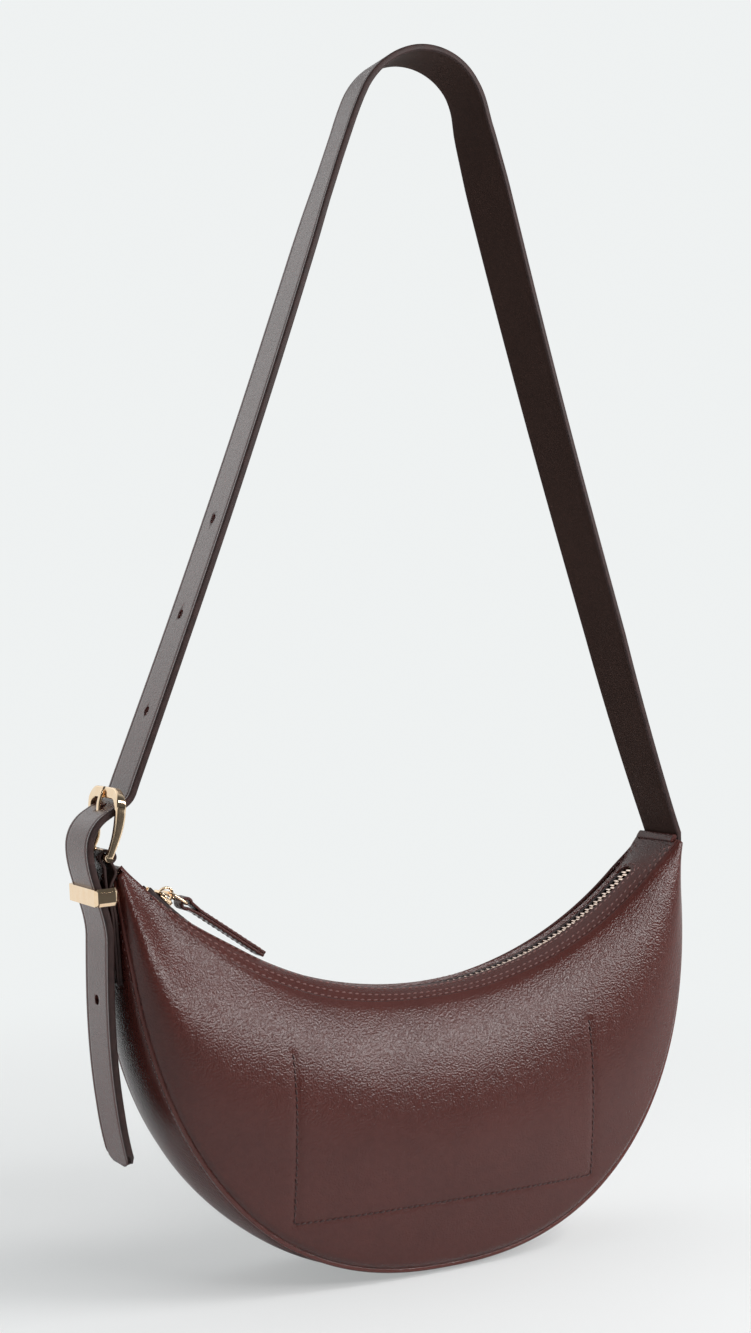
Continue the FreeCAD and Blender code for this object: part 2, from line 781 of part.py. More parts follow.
def make_strap_loop():
    """The stretch that the prong and the keeper hold."""
    half = strap_thick() / 2
    start = loop_start()
    outline = band(start, size("lean_left"), loop_moves(), -half, half)
    strip = extruded("loop_band", outline, "Sizes.strap_width")
    crossing = trace(start, size("lean_left"), loop_moves())[0][2]
    middle = (crossing[0][0].z + crossing[1][0].z) / 2
    hole = cylinder("prong_hole", "Sizes.prong_hole_radius", "8 * Sizes.strap_layer", prong_point_at(middle),
                    prong_direction())
    keep("strap_loop", cut("strap_loop", strip, hole))


def make_strap_tail():
    """The free end: a gentle curve with rounded corners and a spare hole."""
    half = strap_thick() / 2
    _, end, heading = trace(loop_start(), size("lean_left"), loop_moves())
    start = end + direction(heading) * size("node_gap")
    moves = [(size("tail_radius"), -size("tail_turn"))]
    strip = extruded("tail_band", band(start, heading, moves, -half, half), "Sizes.strap_width")
    turn = -math.degrees(size("tail_hole_place") / size("tail_radius"))
    centre = step_ahead(start, heading, size("tail_radius"), turn)
    hole = cylinder("tail_hole", "Sizes.hole_radius", "6 * Sizes.strap_layer", centre,
                    outward(heading + turn))
    punched = cut("tail_punched", strip, hole)
    document.recompute()
    corners = []
    tip = punched.Shape.BoundBox.ZMin
    for number, edge in enumerate(punched.Shape.Edges, 1):
        at_tip = edge.CenterOfMass.z < tip + strap_thick()
        through = abs(edge.Length - strap_thick()) < size("node_gap")
        if at_tip and through:
            corners.append((number, size("tail_corner"), size("tail_corner")))
    rounded = document.addObject("Part::Fillet", "strap_tail")
    rounded.Base = punched
    rounded.Edges = corners
    keep("strap_tail", rounded)


# Buckle


def base_bar():
    """The middle of the frame's base bar."""
    return Vector(size("base_bar_x"), 0, -size("base_bar_drop"))


def frame_place():
    """The frame leans with the strap about its base bar."""
    return Placement(base_bar(), Rotation(Vector(0, 1, 0), size("frame_lean")))


def prong_direction():
    """The way from the base bar to the prong's tip."""
    tip = Vector(-size("prong_offset"), 0, size("frame_height"))
    return frame_place().Rotation.multVec(tip).normalize()


def prong_point_at(z):
    """The point of the prong's axis at a height."""
    way = prong_direction()
    return base_bar() + way * ((z - base_bar().z) / way.z)


def horseshoe(grow):
    """The frame's outline in its own plane, grown or shrunk: a narrow foot and rounded shoulders."""
    foot = size("frame_foot_half_width") + grow
    wide = size("frame_half_width") + grow
    top = size("frame_height") - size("frame_top_bar") / 2 + grow * size("frame_top_bar") / size("frame_bar")
    corner = size("frame_corner") + grow
    shoulder = top - corner
    bend = corner * (1 - math.sqrt(0.5))
    right = [Vector(0, foot, 0), Vector(0, wide, shoulder), Vector(0, wide - bend, top - bend),
             Vector(0, wide - corner, top)]
    left = [Vector(0, -point.y, point.z) for point in right]
    return Part.Wire([
        line(left[0], right[0]),
        line(right[0], right[1]),
        arc(right[1], right[2], right[3]),
        line(right[3], left[3]),
        arc(left[3], left[2], left[1]),
        line(left[1], left[0]),
    ])


def make_buckle_frame():
    """A horseshoe of metal on a round base bar."""
    half = size("frame_bar") / 2
    ring = Part.Face(horseshoe(half)).cut(Part.Face(horseshoe(-half)))
    bow = document.addObject("Part::Extrusion", "frame_bow")
    bow.Base = feature("frame_ring", ring)
    bow.DirMode = "Custom"
    bow.Dir = Vector(1, 0, 0)
    bow.Symmetric = True
    bow.Solid = True
    bind(bow, LengthFwd="Sizes.frame_thick")
    bow.Placement = frame_place()
    bar = cylinder("frame_base_bar", "Sizes.base_bar_radius", "2 * Sizes.frame_foot_half_width", base_bar(),
                   Vector(0, 1, 0))
    # The bow is open between its feet, where only the round bar is left
    gap = box("frame_foot_gap", "2 * Sizes.frame_thick", "2 * Sizes.frame_foot_half_width - Sizes.frame_bar",
              "3 * Sizes.base_bar_radius")
    width = 2 * size("frame_foot_half_width") - size("frame_bar")
    corner = Vector(-size("frame_thick"), -width / 2, -1.5 * size("base_bar_radius"))
    gap.Placement = frame_place().multiply(Placement(corner, Rotation()))
    keep("buckle_frame", fuse("buckle_frame", cut("frame_open_bow", bow, gap), bar))


def make_prong():
    """A round prong with an eye that turns on the base bar."""
    across = Vector(0, 1, 0)
    way = prong_direction()
    length = math.hypot(size("prong_offset"), size("frame_height"))
    middle = base_bar() + way * ((length + size("base_bar_radius")) / 2)
    shank = document.addObject("Part::Cylinder", "prong_shank")
    bind(shank, Radius="Sizes.prong_radius",
         Height="sqrt(Sizes.prong_offset ^ 2 + Sizes.frame_height ^ 2) - Sizes.base_bar_radius")
    document.recompute()
    turn = Rotation(Vector(0, 0, 1), way)
    shank.Placement = Placement(middle - way * (shank.Height.Value / 2), turn)
    eye = cylinder("prong_eye", "Sizes.prong_eye_radius", "Sizes.prong_width", base_bar(), across)
    bore = cylinder("prong_bore", "Sizes.base_bar_radius + Sizes.prong_clearance", "2 * Sizes.prong_width",
                    base_bar(), across)
    keep("buckle_prong", cut("buckle_prong", fuse("prong_metal", eye, shank), bore))


def make_tab():
    """Leather folded round the base bar and run down to its sewn end, with a slot for the prong."""
    across = Vector(0, 1, 0)
    half = size("tab_thick") / 2
    heading = size("keeper_heading")
    turn = size("tab_end_heading") - heading
    moves = [size("tab_hang"), (size("tab_bend_radius"), turn), size("tab_end")]
    strip = extruded("tab_strip", band(base_bar(), heading, moves, -half, half), "Sizes.tab_width")
    eye = cylinder("tab_eye", "Sizes.tab_eye_radius", "Sizes.tab_width", base_bar(), across)
    bore = cylinder("tab_bore", "Sizes.tab_eye_bore", "2 * Sizes.tab_width", base_bar(), across)
    folded = cut("tab_folded", fuse("tab_leather", strip, eye), bore)
    slot = box("tab_prong_slot", "4 * Sizes.tab_eye_radius", "Sizes.tab_slot", "4 * Sizes.tab_eye_radius")
    corner = Vector(-2 * size("tab_eye_radius"), -size("tab_slot") / 2, -1.3 * size("tab_eye_radius"))
    slot.Placement = Placement(base_bar() + corner, Rotation())
    keep("buckle_tab", cut("buckle_tab", folded, slot))


def make_keeper():
    """A metal loop round the tab and the strap, with a thick face and a thin back bar."""
    turn = Rotation(Vector(0, 1, 0), size("keeper_heading"))
    middle = Vector(size("keeper_x"), 0, -size("keeper_drop"))
    ring = box("keeper_ring", "Sizes.keeper_front + Sizes.keeper_opening + Sizes.keeper_back",
               "Sizes.keeper_opening_width + 2 * Sizes.keeper_side", "Sizes.keeper_height")
    width = size("keeper_opening_width")
    height = size("keeper_height")
    outside = -size("keeper_opening") / 2 - size("keeper_front")
    corner = Vector(outside, -width / 2 - size("keeper_side"), -height / 2)
    ring.Placement = Placement(middle + turn.multVec(corner), turn)
    hole = box("keeper_hole", "Sizes.keeper_opening", "Sizes.keeper_opening_width", "2 * Sizes.keeper_height")
    corner = Vector(-size("keeper_opening") / 2, -width / 2, -height)
    hole.Placement = Placement(middle + turn.multVec(corner), turn)
    keep("keeper", cut("keeper", ring, hole))


def check_document():
    """Stops on any failed object and on any sub-part without a valid solid."""
    document.recompute()
    for item in document.Objects:
        if "Invalid" in item.State or "Error" in item.State:
            raise RuntimeError(f"{item.Label} failed: {item.State}")
    for label, item in nodes.items():
        shape = item.Shape
        if shape.isNull() or not shape.isValid() or not shape.Solids:
            raise RuntimeError(f"{label} has no valid solid")
        print(f"{label:18s} solids {len(shape.Solids):3d}  volume {shape.Volume:10.1f} mm3")


def write_parts():
    """One file for each sub-part."""
    os.makedirs("parts", exist_ok=True)
    for label, item in nodes.items():
        item.Shape.exportStep(f"parts/{label}.step")


make_panels()
make_gusset()
make_piping()
make_slip_pocket()
make_top_panel()
make_tapes()
make_teeth()
make_stops()
make_slider()
make_puller()
make_pull()
make_strap()
make_strap_root()
make_strap_loop()
make_strap_tail()
make_buckle_frame()
make_prong()
make_tab()
make_keeper()
check_document()
write_parts()
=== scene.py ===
import math

import bmesh
import bpy
import numpy as np
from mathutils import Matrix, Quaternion, Vector, noise
from mathutils.bvhtree import BVHTree


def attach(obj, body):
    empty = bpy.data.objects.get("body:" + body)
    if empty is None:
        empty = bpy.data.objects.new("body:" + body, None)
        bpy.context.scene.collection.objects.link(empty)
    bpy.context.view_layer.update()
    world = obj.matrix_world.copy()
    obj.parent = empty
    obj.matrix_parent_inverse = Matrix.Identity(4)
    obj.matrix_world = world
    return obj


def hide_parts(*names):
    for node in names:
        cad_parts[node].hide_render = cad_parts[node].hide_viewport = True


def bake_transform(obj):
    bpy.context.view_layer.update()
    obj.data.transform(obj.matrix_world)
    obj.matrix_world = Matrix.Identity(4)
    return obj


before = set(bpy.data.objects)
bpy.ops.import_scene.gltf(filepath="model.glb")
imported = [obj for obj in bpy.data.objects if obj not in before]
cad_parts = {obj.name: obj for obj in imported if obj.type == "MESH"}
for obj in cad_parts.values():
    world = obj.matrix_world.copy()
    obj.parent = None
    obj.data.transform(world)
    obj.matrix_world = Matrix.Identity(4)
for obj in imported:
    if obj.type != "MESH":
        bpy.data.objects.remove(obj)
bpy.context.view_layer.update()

# Sizes are in millimetres in the part's frame and angles in degrees; meshes are made in metres
MM = 0.001
FLOOR_DROP = 522.0
ACROSS = np.array([0.0, 1.0, 0.0])
FRONT_AND_BACK = ((-1, "front"), (1, "back"))

# Seam curve of the half moon
TIP_DROP = 345.0
BAG_HALF_WIDTH = 139.2
BAG_DEPTH = 174.5
SEAM_POWER = 2.34
SEAM_OFFSET = -2.0
SEAM_LEAN = 5.0
SEAM_END_TURN = 0.6
SEAM_ALLOWANCE = 2.2
TIP_FLARE = 2.6
TIP_FLARE_DEPTH = 16.0
LEFT_FLARE_SHARE = -0.4
TIP_HALF_DEPTH = 12.5
BASE_HALF_DEPTH = 26.0
TIP_PINCH = 0.47
TIP_PINCH_DEPTH = 42.0
TIP_PINCH_START = -38.5

# Panels, gusset and welts
PANEL_TOP_RADIUS = 179.4
PANEL_REACH = 48.9
PANEL_LEFT_END = np.array([-140.3, 0.0, -344.2])
PANEL_RIGHT_END = np.array([137.4, 0.0, -346.2])
PANEL_END_SHARE = 0.075
PANEL_BULGE = 11.0
TIP_BULGE = 0.6
BULGE_PEAK = 0.42
HORN_BULGE = 1.5
HORN_PLACE = 0.1
HORN_SPREAD = 0.085
HORN_PEAK = 0.7
TOP_TUCK = 0.35
SEAM_TUCK = 1.5
PANEL_THICK = 1.8
POCKET_LEFT = -72.5
POCKET_RIGHT = 75.5
POCKET_LOW = -490.0
POCKET_HIGH = -421.0
POCKET_GROOVE_WIDTH = 1.3
POCKET_GROOVE_DEPTH = 0.6
GUSSET_THICK = 1.6
GUSSET_CROWN_TIP = 0.6
GUSSET_CROWN_BASE = 2.9
GUSSET_CROWN_SWELL = 2.2
GUSSET_INSET = 2.0
WELT_HALF_WIDTH = 1.55
WELT_HALF_HEIGHT = 1.15
WELT_SINK = 0.75
WELT_INSET = 1.25

# Top strip with the zip's slit
ZIP_CENTRE_DROP = 228.0
TOP_HALF_WIDTH = 13.8
TOP_CREST_RADIUS = 174.4
TOP_EDGE_DROP = 3.9
TOP_LEFT_DROP = 3.2
SAG_START = (-46.5, -40.0)
SAG_END = (-20.0, 4.0)
TOP_BACK_DROP = 6.4
TOP_THICK = 1.5
TOP_REACH = 47.9
RIGHT_END_START = 38.0
LEFT_END_START = -40.0
TOP_DROOP = 4.3
DROOP_END = (-46.0, -29.0)
TOP_LAP = 0.8
TOP_LAP_DROP = 1.8
TOP_RIGHT_END = np.array([135.2, 0.0, -345.2])
TOP_LEFT_END = np.array([-139.6, 0.0, -343.5])
SLIT_HALF_WIDTH = 5.0
SLIT_LEFT = -45.2
SLIT_RIGHT = 41.9
SLIT_ROUND = math.degrees(SLIT_HALF_WIDTH / TOP_CREST_RADIUS)
HEM_HALF_WIDTH = 12.9
HEM_SLOPE = 52.0
TIP_COVER_HALF_WIDTH = 12.6

# Stitches
STITCH_SLANT = 9.0
STRIP_STITCH_SPACING = 3.1
POCKET_STITCH_SPACING = 2.7
PULL_STITCH_SPACING = 2.6
SLIT_STITCH_PLACE = SLIT_HALF_WIDTH + 1.7

# Zip
TOOTH_RADIUS = 177.6
TOOTH_PITCH = 3.0
TEETH_START = -42.4
TEETH_END = 42.9
TAPE_START = -45.0
TAPE_THICK = 0.6
SLIDER_ANGLE = -42.2
PULLER_PIN_HEIGHT = 4.8
PULLER_LENGTH = 8.5
PULLER_HALF_WIDTH = 4.85
PULLER_CORNER = 2.0
PULLER_SLOPE = 33.0
PULL_LENGTH = 42.0
PULL_WIDTH = 7.8
PULL_LAYER = 1.25
PULL_SLOPE = 33.5

# Strap
STRAP_WIDTH = 25.0
STRAP_THICK = 2.85
CROWN_RADIUS = 30.0
LEAN_LEFT = 19.8
LEAN_RIGHT = 18.1
ROOT_DROP = 352.0
LEFT_LEG_DROP = 310.3
BULGE_TURN = 58.0
BUTT_HEIGHT = -353.7
TAIL_TOP = np.array([-145.2, 0.0, -373.0])
TAIL_LENGTH = 90.2
TAIL_DRIFT = 9.6
TAIL_CORNER = 7.5
TAIL_HOLE_HEIGHT = -396.9
HOLE_RADIUS = 2.0
HOLE_PITCH = 42.0
LOWEST_HOLE_DROP = 283.0

# Buckle and keeper
BASE_BAR = np.array([-146.6, 0.0, -339.4])
BASE_BAR_RADIUS = 1.6
FRAME_LEAN = 10.0
FRAME_TOP = 25.3
FRAME_HALF_WIDTH = 14.2
FRAME_FOOT = 13.4
FRAME_CORNER = 6.0
PRONG_LENGTH = 26.6
PRONG_ROLL = 2.42
KEEPER_CENTRE = np.array([-147.7, 0.0, -354.6])
KEEPER_HEADING = -3.0
KEEPER_FRONT = -4.4
KEEPER_REAR = 4.3
KEEPER_HALF_WIDTH = 14.0
KEEPER_HALF_HEIGHT = 3.5
KEEPER_HALF_THICK = 0.72
TAB_LINE = np.array([[-146.6, 0, -339.4], [-146.3, 0, -346.5], [-145.4, 0, -353.7], [-143.2, 0, -362.0],
                     [-142.2, 0, -372.0], [-140.6, 0, -390.0]])
TAB_LAYER = 1.2
TAB_SLACK = 3.2
TAB_FOLD_STRETCH = 1.5
TAB_WIDTH = 21.0
TAB_SLOT_HALF = 2.3
TAB_SLOT_END = 4.4

# The photo's camera, level and turned 30 degrees to the bag's left, and the lamps' target, in metres
CAMERA_PLACE = (-0.4185, -0.6928, -0.2643)
CAMERA_YAW = -30.0
CAMERA_LENS = 50.0
BAG_MIDDLE = (0.0, -0.03, -0.42)


# Directions and sections


def unit(vectors):
    """Vectors scaled to a length of one."""
    return vectors / np.linalg.norm(vectors, axis=-1, keepdims=True)


def path_run(path, closed=False):
    """The direction of a path at each of its points."""
    if closed:
        return unit(np.roll(path, -1, 0) - np.roll(path, 1, 0))
    return unit(np.gradient(path, axis=0))


def path_out(path):
    """The outer side of a band along its path, where the path runs down on the left."""
    run = path_run(path)
    return np.stack([run[:, 2], 0 * run[:, 0], -run[:, 0]], -1)


def tilted(angle):
    """Directions to the right and up in the bag's plane, turned by angles so that the right goes down."""
    turn = np.radians(np.asarray(angle, float))
    right = np.stack([np.cos(turn), 0 * turn, -np.sin(turn)], -1)
    up = np.stack([np.sin(turn), 0 * turn, np.cos(turn)], -1)
    return right, up


def smooth_step(low, high, value):
    """0 below low, 1 above high, and a smooth rise between them."""
    t = np.clip((value - low) / (high - low), 0, 1)
    return t * t * (3 - 2 * t)


def squared_oval(wide, deep, power=0.55, count=24):
    """A rounded-off rectangle as a section, with wide and deep as half sizes."""
    turn = np.linspace(0, 2 * math.pi, count + 1)[:-1]
    a = np.sign(np.cos(turn)) * np.abs(np.cos(turn)) ** power * wide
    b = np.sign(np.sin(turn)) * np.abs(np.sin(turn)) ** power * deep
    return np.stack([a, b], -1)


def band_section(width, thick, round_off, crease=0.0):
    """A strip's section and face kinds: 0 outer, 1 edge, 2 inner; crease is its pressed lines' depth."""
    half, edge = width / 2, thick / 2
    turn = np.linspace(0, math.pi / 2, 5)
    corners = []
    for side_a, side_n, order in ((1, 1, 1), (-1, 1, -1), (-1, -1, 1), (1, -1, -1)):
        corners.append([(side_a * (half - round_off + round_off * math.cos(t)),
                         side_n * (edge - round_off + round_off * math.sin(t))) for t in turn[::order]])
    pressed = []
    if crease:
        line = half - 2.2
        pressed = [(line + a, edge - crease * max(0, 1 - abs(a) / 0.5)) for a in (0.6, 0.25, 0, -0.25, -0.6)]
    flat = half - min(4.0, half / 2)
    spots = np.linspace(flat, -flat, 7)
    outer = pressed + [(a, edge) for a in spots] + [(-a, n) for a, n in pressed[::-1]]
    inner = [(-a, -edge) for a in spots]
    section = corners[0] + outer + corners[1] + corners[2] + inner + corners[3]
    kinds = []
    for (a, n), (b, m) in zip(section, section[1:] + section[:1]):
        on_edge = abs(a + b) / 2 > half - round_off * 0.9
        kinds.append(1 if on_edge else (0 if n + m > 0 else 2))
    return section, kinds


# Mesh helpers


def link(name, data):
    """Puts a mesh, a lamp or a camera into the scene as an object."""
    piece = bpy.data.objects.new(name, data)
    bpy.context.scene.collection.objects.link(piece)
    return piece


def shade_smooth(mesh):
    """Smooth shading on every face."""
    mesh.polygons.foreach_set("use_smooth", [True] * len(mesh.polygons))
    mesh.update()


def build(name, points, faces, materials, slots=None):
    """A smooth-shaded piece from points in millimetres; slots gives each face's material number."""
    mesh = bpy.data.meshes.new(name)
    mesh.from_pydata((np.asarray(points, float).reshape(-1, 3) * MM).tolist(), [], faces)
    for material in materials:
        mesh.materials.append(material)
    if slots is not None:
        mesh.polygons.foreach_set("material_index", slots)
    shade_smooth(mesh)
    return link(name, mesh)


def grid_faces(rows, cols, wrap_cols=False, flip=False):
    """Quads over a grid of points stored row by row."""
    faces = []
    for r in range(rows - 1):
        for c in range(cols if wrap_cols else cols - 1):
            after = (c + 1) % cols
            quad = [r * cols + c, r * cols + after, (r + 1) * cols + after, (r + 1) * cols + c]
            faces.append(quad[::-1] if flip else quad)
    return faces


def end_faces(rows, cols):
    """The two faces that close a grid wrapped to a tube."""
    return [list(range(cols))[::-1], [(rows - 1) * cols + k for k in range(cols)]]


def edit_mesh(piece, change):
    """Changes a piece's mesh by a function of its editable form."""
    work = bmesh.new()
    work.from_mesh(piece.data)
    change(work)
    work.to_mesh(piece.data)
    work.free()


def merge_points(work, distance):
    """Joins points that lie on each other."""
    bmesh.ops.remove_doubles(work, verts=work.verts, dist=distance * MM)


def turn_outwards(work):
    """Turns a closed form's faces outwards and keeps its ends flat."""
    bmesh.ops.recalc_face_normals(work, faces=work.faces)
    for face in work.faces:
        face.smooth = len(face.verts) < 5


def bake(piece):
    """Applies a piece's modifiers to its mesh."""
    bpy.context.view_layer.update()
    evaluated = piece.evaluated_get(bpy.context.evaluated_depsgraph_get())
    mesh = bpy.data.meshes.new_from_object(evaluated)
    piece.modifiers.clear()
    piece.data = mesh


def round_edges(piece, width, angle=40, crisp=False):
    """Rounds the sharp edges of a piece; a crisp piece keeps its faces flat up to the rounding."""
    rounding = piece.modifiers.new("rounding", "BEVEL")
    rounding.width = width * MM
    rounding.segments = 3
    rounding.limit_method = "ANGLE"
    rounding.angle_limit = math.radians(angle)
    rounding.harden_normals = crisp


def thicken(piece, thick, bevel=0.0):
    """Thickness towards the inside, with its rims rounded."""
    solid = piece.modifiers.new("thickness", "SOLIDIFY")
    solid.thickness = thick * MM
    solid.offset = -1
    if bevel:
        round_edges(piece, bevel)
    bake(piece)


def sheet_piece(name, grid, material, thick, flip=False):
    """An open surface given a thickness away from its outer side."""
    piece = build(name, grid, grid_faces(*grid.shape[:2], flip=flip), [material])
    thicken(piece, thick)
    return piece


def tube(name, path, first, second, sections, materials, kinds=None, cap_slot=0, ends=(True, True),
         closed=False):
    """One section or one for each point, carried along a path; first and second are its two directions."""
    sections = np.asarray(sections, float)
    if sections.ndim == 2:
        sections = sections[None]
    first, second = (np.broadcast_to(way, path.shape)[:, None] for way in (first, second))
    points = path[:, None] + first * sections[..., :1] + second * sections[..., 1:]
    if closed:
        points = np.concatenate([points, points[:1]])
        ends = (False, False)
    rows, count = points.shape[:2]
    faces = grid_faces(rows, count, wrap_cols=True)
    slots = list(kinds or [0] * count) * (rows - 1)
    for wanted, face in zip(ends, end_faces(rows, count)):
        if wanted:
            faces.append(face)
            slots.append(cap_slot)
    piece = build(name, points, faces, materials, slots)
    if closed:
        edit_mesh(piece, lambda work: merge_points(work, 1e-4))
    edit_mesh(piece, turn_outwards)
    return piece


def prism(work, place, angle, outline, low, high):
    """A block on the zip's line at an angle: an outline of (along, across) points between two heights."""
    along, up = tilted(-angle)
    rims = [[work.verts.new(Vector(place + along * x + ACROSS * y + up * level) * MM) for x, y in outline]
            for level in (low, high)]
    work.faces.new(rims[0][::-1])
    work.faces.new(rims[1])
    for k in range(len(outline)):
        after = (k + 1) % len(outline)
        work.faces.new([rims[0][k], rims[0][after], rims[1][after], rims[1][k]])


def box_outline(left, right, near, far):
    """A rectangle's four corners."""
    return [(left, near), (right, near), (right, far), (left, far)]


def cast_piece(name, work, material, rounding, angle=40):
    """A piece from loose blocks with rounded edges."""
    bmesh.ops.recalc_face_normals(work, faces=work.faces)
    mesh = bpy.data.meshes.new(name)
    work.to_mesh(mesh)
    work.free()
    mesh.materials.append(material)
    piece = link(name, mesh)
    round_edges(piece, rounding, angle=angle)
    bake(piece)
    shade_smooth(piece.data)
    return piece


def cut_holes(piece, holes):
    """Punches round holes, each (centre, direction, radius, length), through a piece."""
    cutters = []
    for centre, direction, radius, length in holes:
        bpy.ops.mesh.primitive_cylinder_add(vertices=40, radius=radius * MM, depth=length * MM,
                                            location=Vector(centre) * MM)
        cutter = bpy.context.object
        cutter.rotation_mode = "QUATERNION"
        cutter.rotation_quaternion = Vector(direction).to_track_quat("Z", "Y")
        difference = piece.modifiers.new("hole", "BOOLEAN")
        difference.object = cutter
        difference.solver = "EXACT"
        cutters.append(cutter)
    bake(piece)
    for cutter in cutters:
        mesh = cutter.data
        bpy.data.objects.remove(cutter)
        bpy.data.meshes.remove(mesh)


def dress(piece, body, slot, *replaced):
    """Rides a piece on its body and hides the solids it stands for; slot is not used."""
    if body:
        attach(piece, body)
    if replaced:
        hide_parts(*replaced)


# Shapes of the half moon


def seam_spot(angle):
    """Points of the seam's curve and their shares of the bag's depth."""
    power = 2 / SEAM_POWER
    share = np.abs(np.sin(angle)) ** power
    x = np.sign(np.cos(angle)) * np.abs(np.cos(angle)) ** power * BAG_HALF_WIDTH
    flare = TIP_FLARE * np.clip(1 - share * BAG_DEPTH / TIP_FLARE_DEPTH, 0, 1) ** 2
    x = x + SEAM_OFFSET + SEAM_LEAN * share + np.where(np.cos(angle) > 0, flare, LEFT_FLARE_SHARE * flare)
    return np.stack([x, 0 * x, -TIP_DROP - share * BAG_DEPTH], -1), share


def seam(turn):
    """Seam points and outward normals, half depths and shares of the depth; turn 0 is the right tip."""
    angle = np.radians(np.asarray(turn, float))
    place, share = seam_spot(angle)
    step = math.radians(0.2)
    along = unit(seam_spot(angle + step)[0] - seam_spot(angle - step)[0])
    out = np.stack([-along[..., 2], 0 * along[..., 0], along[..., 0]], -1)
    depth = TIP_HALF_DEPTH + (BASE_HALF_DEPTH - TIP_HALF_DEPTH) * np.sin(share * math.pi / 2)
    gathered = np.where(np.cos(angle) < 0, 1 - smooth_step(0, TIP_PINCH_DEPTH, share * BAG_DEPTH), 0)
    return place, out, depth * (1 - TIP_PINCH * gathered), share


def seam_turns(shares):
    """Turns along the seam for shares of the way from the right tip to the left one."""
    return SEAM_END_TURN + (180 - 2 * SEAM_END_TURN) * shares


def gather(angle):
    """What is left of the width where the leather is gathered to the left tip, at angles along the zip."""
    return 1 - TIP_PINCH * (1 - smooth_step(-TOP_REACH, TIP_PINCH_START, angle))


def zip_point(radius, angle):
    """Points at radii and at angles from straight down about the zip's centre."""
    turn = np.radians(np.asarray(angle, float))
    radius = radius + 0 * turn
    return np.stack([radius * np.sin(turn), 0 * turn, -ZIP_CENTRE_DROP - radius * np.cos(turn)], -1)


def even_ends(count, crowd=0.55):
    """Shares from 0 to 1, closer together near both ends."""
    t = np.linspace(0, 1, count)
    return (1 - crowd) * t + crowd * (1 - np.cos(math.pi * t)) / 2


def pocket_pull(x, z):
    """How far the sewn line of the pocket draws the leather in."""
    groove = POCKET_GROOVE_WIDTH
    side = np.minimum(np.abs(x - POCKET_LEFT), np.abs(x - POCKET_RIGHT))
    side = np.where((z > POCKET_LOW - groove) & (z < POCKET_HIGH), side, 9 * groove)
    low = np.where((x > POCKET_LEFT) & (x < POCKET_RIGHT), np.abs(z - POCKET_LOW), 9 * groove)
    return POCKET_GROOVE_DEPTH * np.exp(-(np.minimum(side, low) / groove) ** 2)


def unevenness(points, scale, amount, shift):
    """Soft irregular swelling, the same each time."""
    flat = points.reshape(-1, 3) / scale + shift
    return amount * np.array([noise.noise(Vector(p)) for p in flat]).reshape(points.shape[:-1])


def left_sag(angle, y):
    """How much lower the strip's front seam lies on its left-hand stretch, at angles along the zip."""
    stretch = smooth_step(*SAG_START, angle) * (1 - smooth_step(*SAG_END, angle))
    return np.where(y < 0, TOP_LEFT_DROP * stretch, 0)


def panel_top(share, side):
    """The panel's upper edge: on the zip's circle, drawn out to a point at each tip."""
    angle = PANEL_REACH * (2 * share - 1)
    top = zip_point(PANEL_TOP_RADIUS + left_sag(angle, side), angle)
    left = 1 - smooth_step(0, PANEL_END_SHARE, share)
    top = top + left[:, None] * (PANEL_LEFT_END - top[0])
    right = smooth_step(1 - PANEL_END_SHARE, 1, share)
    return top + right[:, None] * (PANEL_RIGHT_END - top[-1])


def panel_grid(side):
    """The bulged crescent of the front (side -1) or the back (side 1)."""
    share = even_ends(241)
    down = even_ends(111)[:, None]
    top = panel_top(share, side)
    place, out, depth, _ = seam(seam_turns(1 - share))
    low = place - out * SEAM_ALLOWANCE
    points = top[None] + (low - top)[None] * down[..., None]
    fullness = np.clip(np.sin(math.pi * share), 0, 1) ** 0.7
    swell = TIP_BULGE + (PANEL_BULGE - TIP_BULGE) * fullness
    swell = swell + HORN_BULGE * np.exp(-((share - HORN_PLACE) / HORN_SPREAD) ** 2)
    peak = BULGE_PEAK + (HORN_PEAK - BULGE_PEAK) * (1 - smooth_step(0.04, 0.3, share))
    bow = np.sin(math.pi * down ** (math.log(0.5) / np.log(peak))[None])
    top_half = TOP_HALF_WIDTH * gather(PANEL_REACH * (2 * share - 1))
    deep = top_half[None] + (depth - top_half)[None] * down + swell[None] * bow
    deep -= SEAM_TUCK * smooth_step(0.965, 1, down) ** 2
    deep -= TOP_TUCK * (1 - smooth_step(0, 0.03, down))
    deep += unevenness(points, 46, 0.75, side * 3.0) * fullness[None] * bow
    if side < 0:
        deep -= pocket_pull(points[..., 0], points[..., 2])
    points[..., 1] = side * deep
    return points


def make_panels(leather):
    """Front and back panels."""
    panels = {}
    for side, word in FRONT_AND_BACK:
        panel = sheet_piece(f"{word}_panel_leather", panel_grid(side), leather, PANEL_THICK, flip=side > 0)
        dress(panel, "bag", "leather", f"{word}_panel")
        panels[word] = panel
    return panels


def make_gusset(leather):
    """The crowned strip under the bag from tip to tip."""
    place, out, depth, share = seam(seam_turns(np.linspace(0, 1, 221)))
    across = np.linspace(-1, 1, 33)
    crown = GUSSET_CROWN_TIP + (GUSSET_CROWN_BASE - GUSSET_CROWN_TIP) * share
    crown = crown + GUSSET_CROWN_SWELL * np.sin(math.pi * share) ** 2
    lift = crown[:, None] * (1 - across[None] ** 2) - 0.5 * smooth_step(0.9, 1, np.abs(across))[None]
    points = place[:, None] + out[:, None] * lift[..., None]
    points[..., 1] = across[None] * (depth - GUSSET_INSET)[:, None]
    points += out[:, None] * unevenness(points, 38, 0.35, 7.0)[..., None]
    points[..., 2] = np.maximum(points[..., 2], -FLOOR_DROP)
    gusset = sheet_piece("gusset_leather", points, leather, GUSSET_THICK, flip=True)
    dress(gusset, "bag", "leather", "gusset")


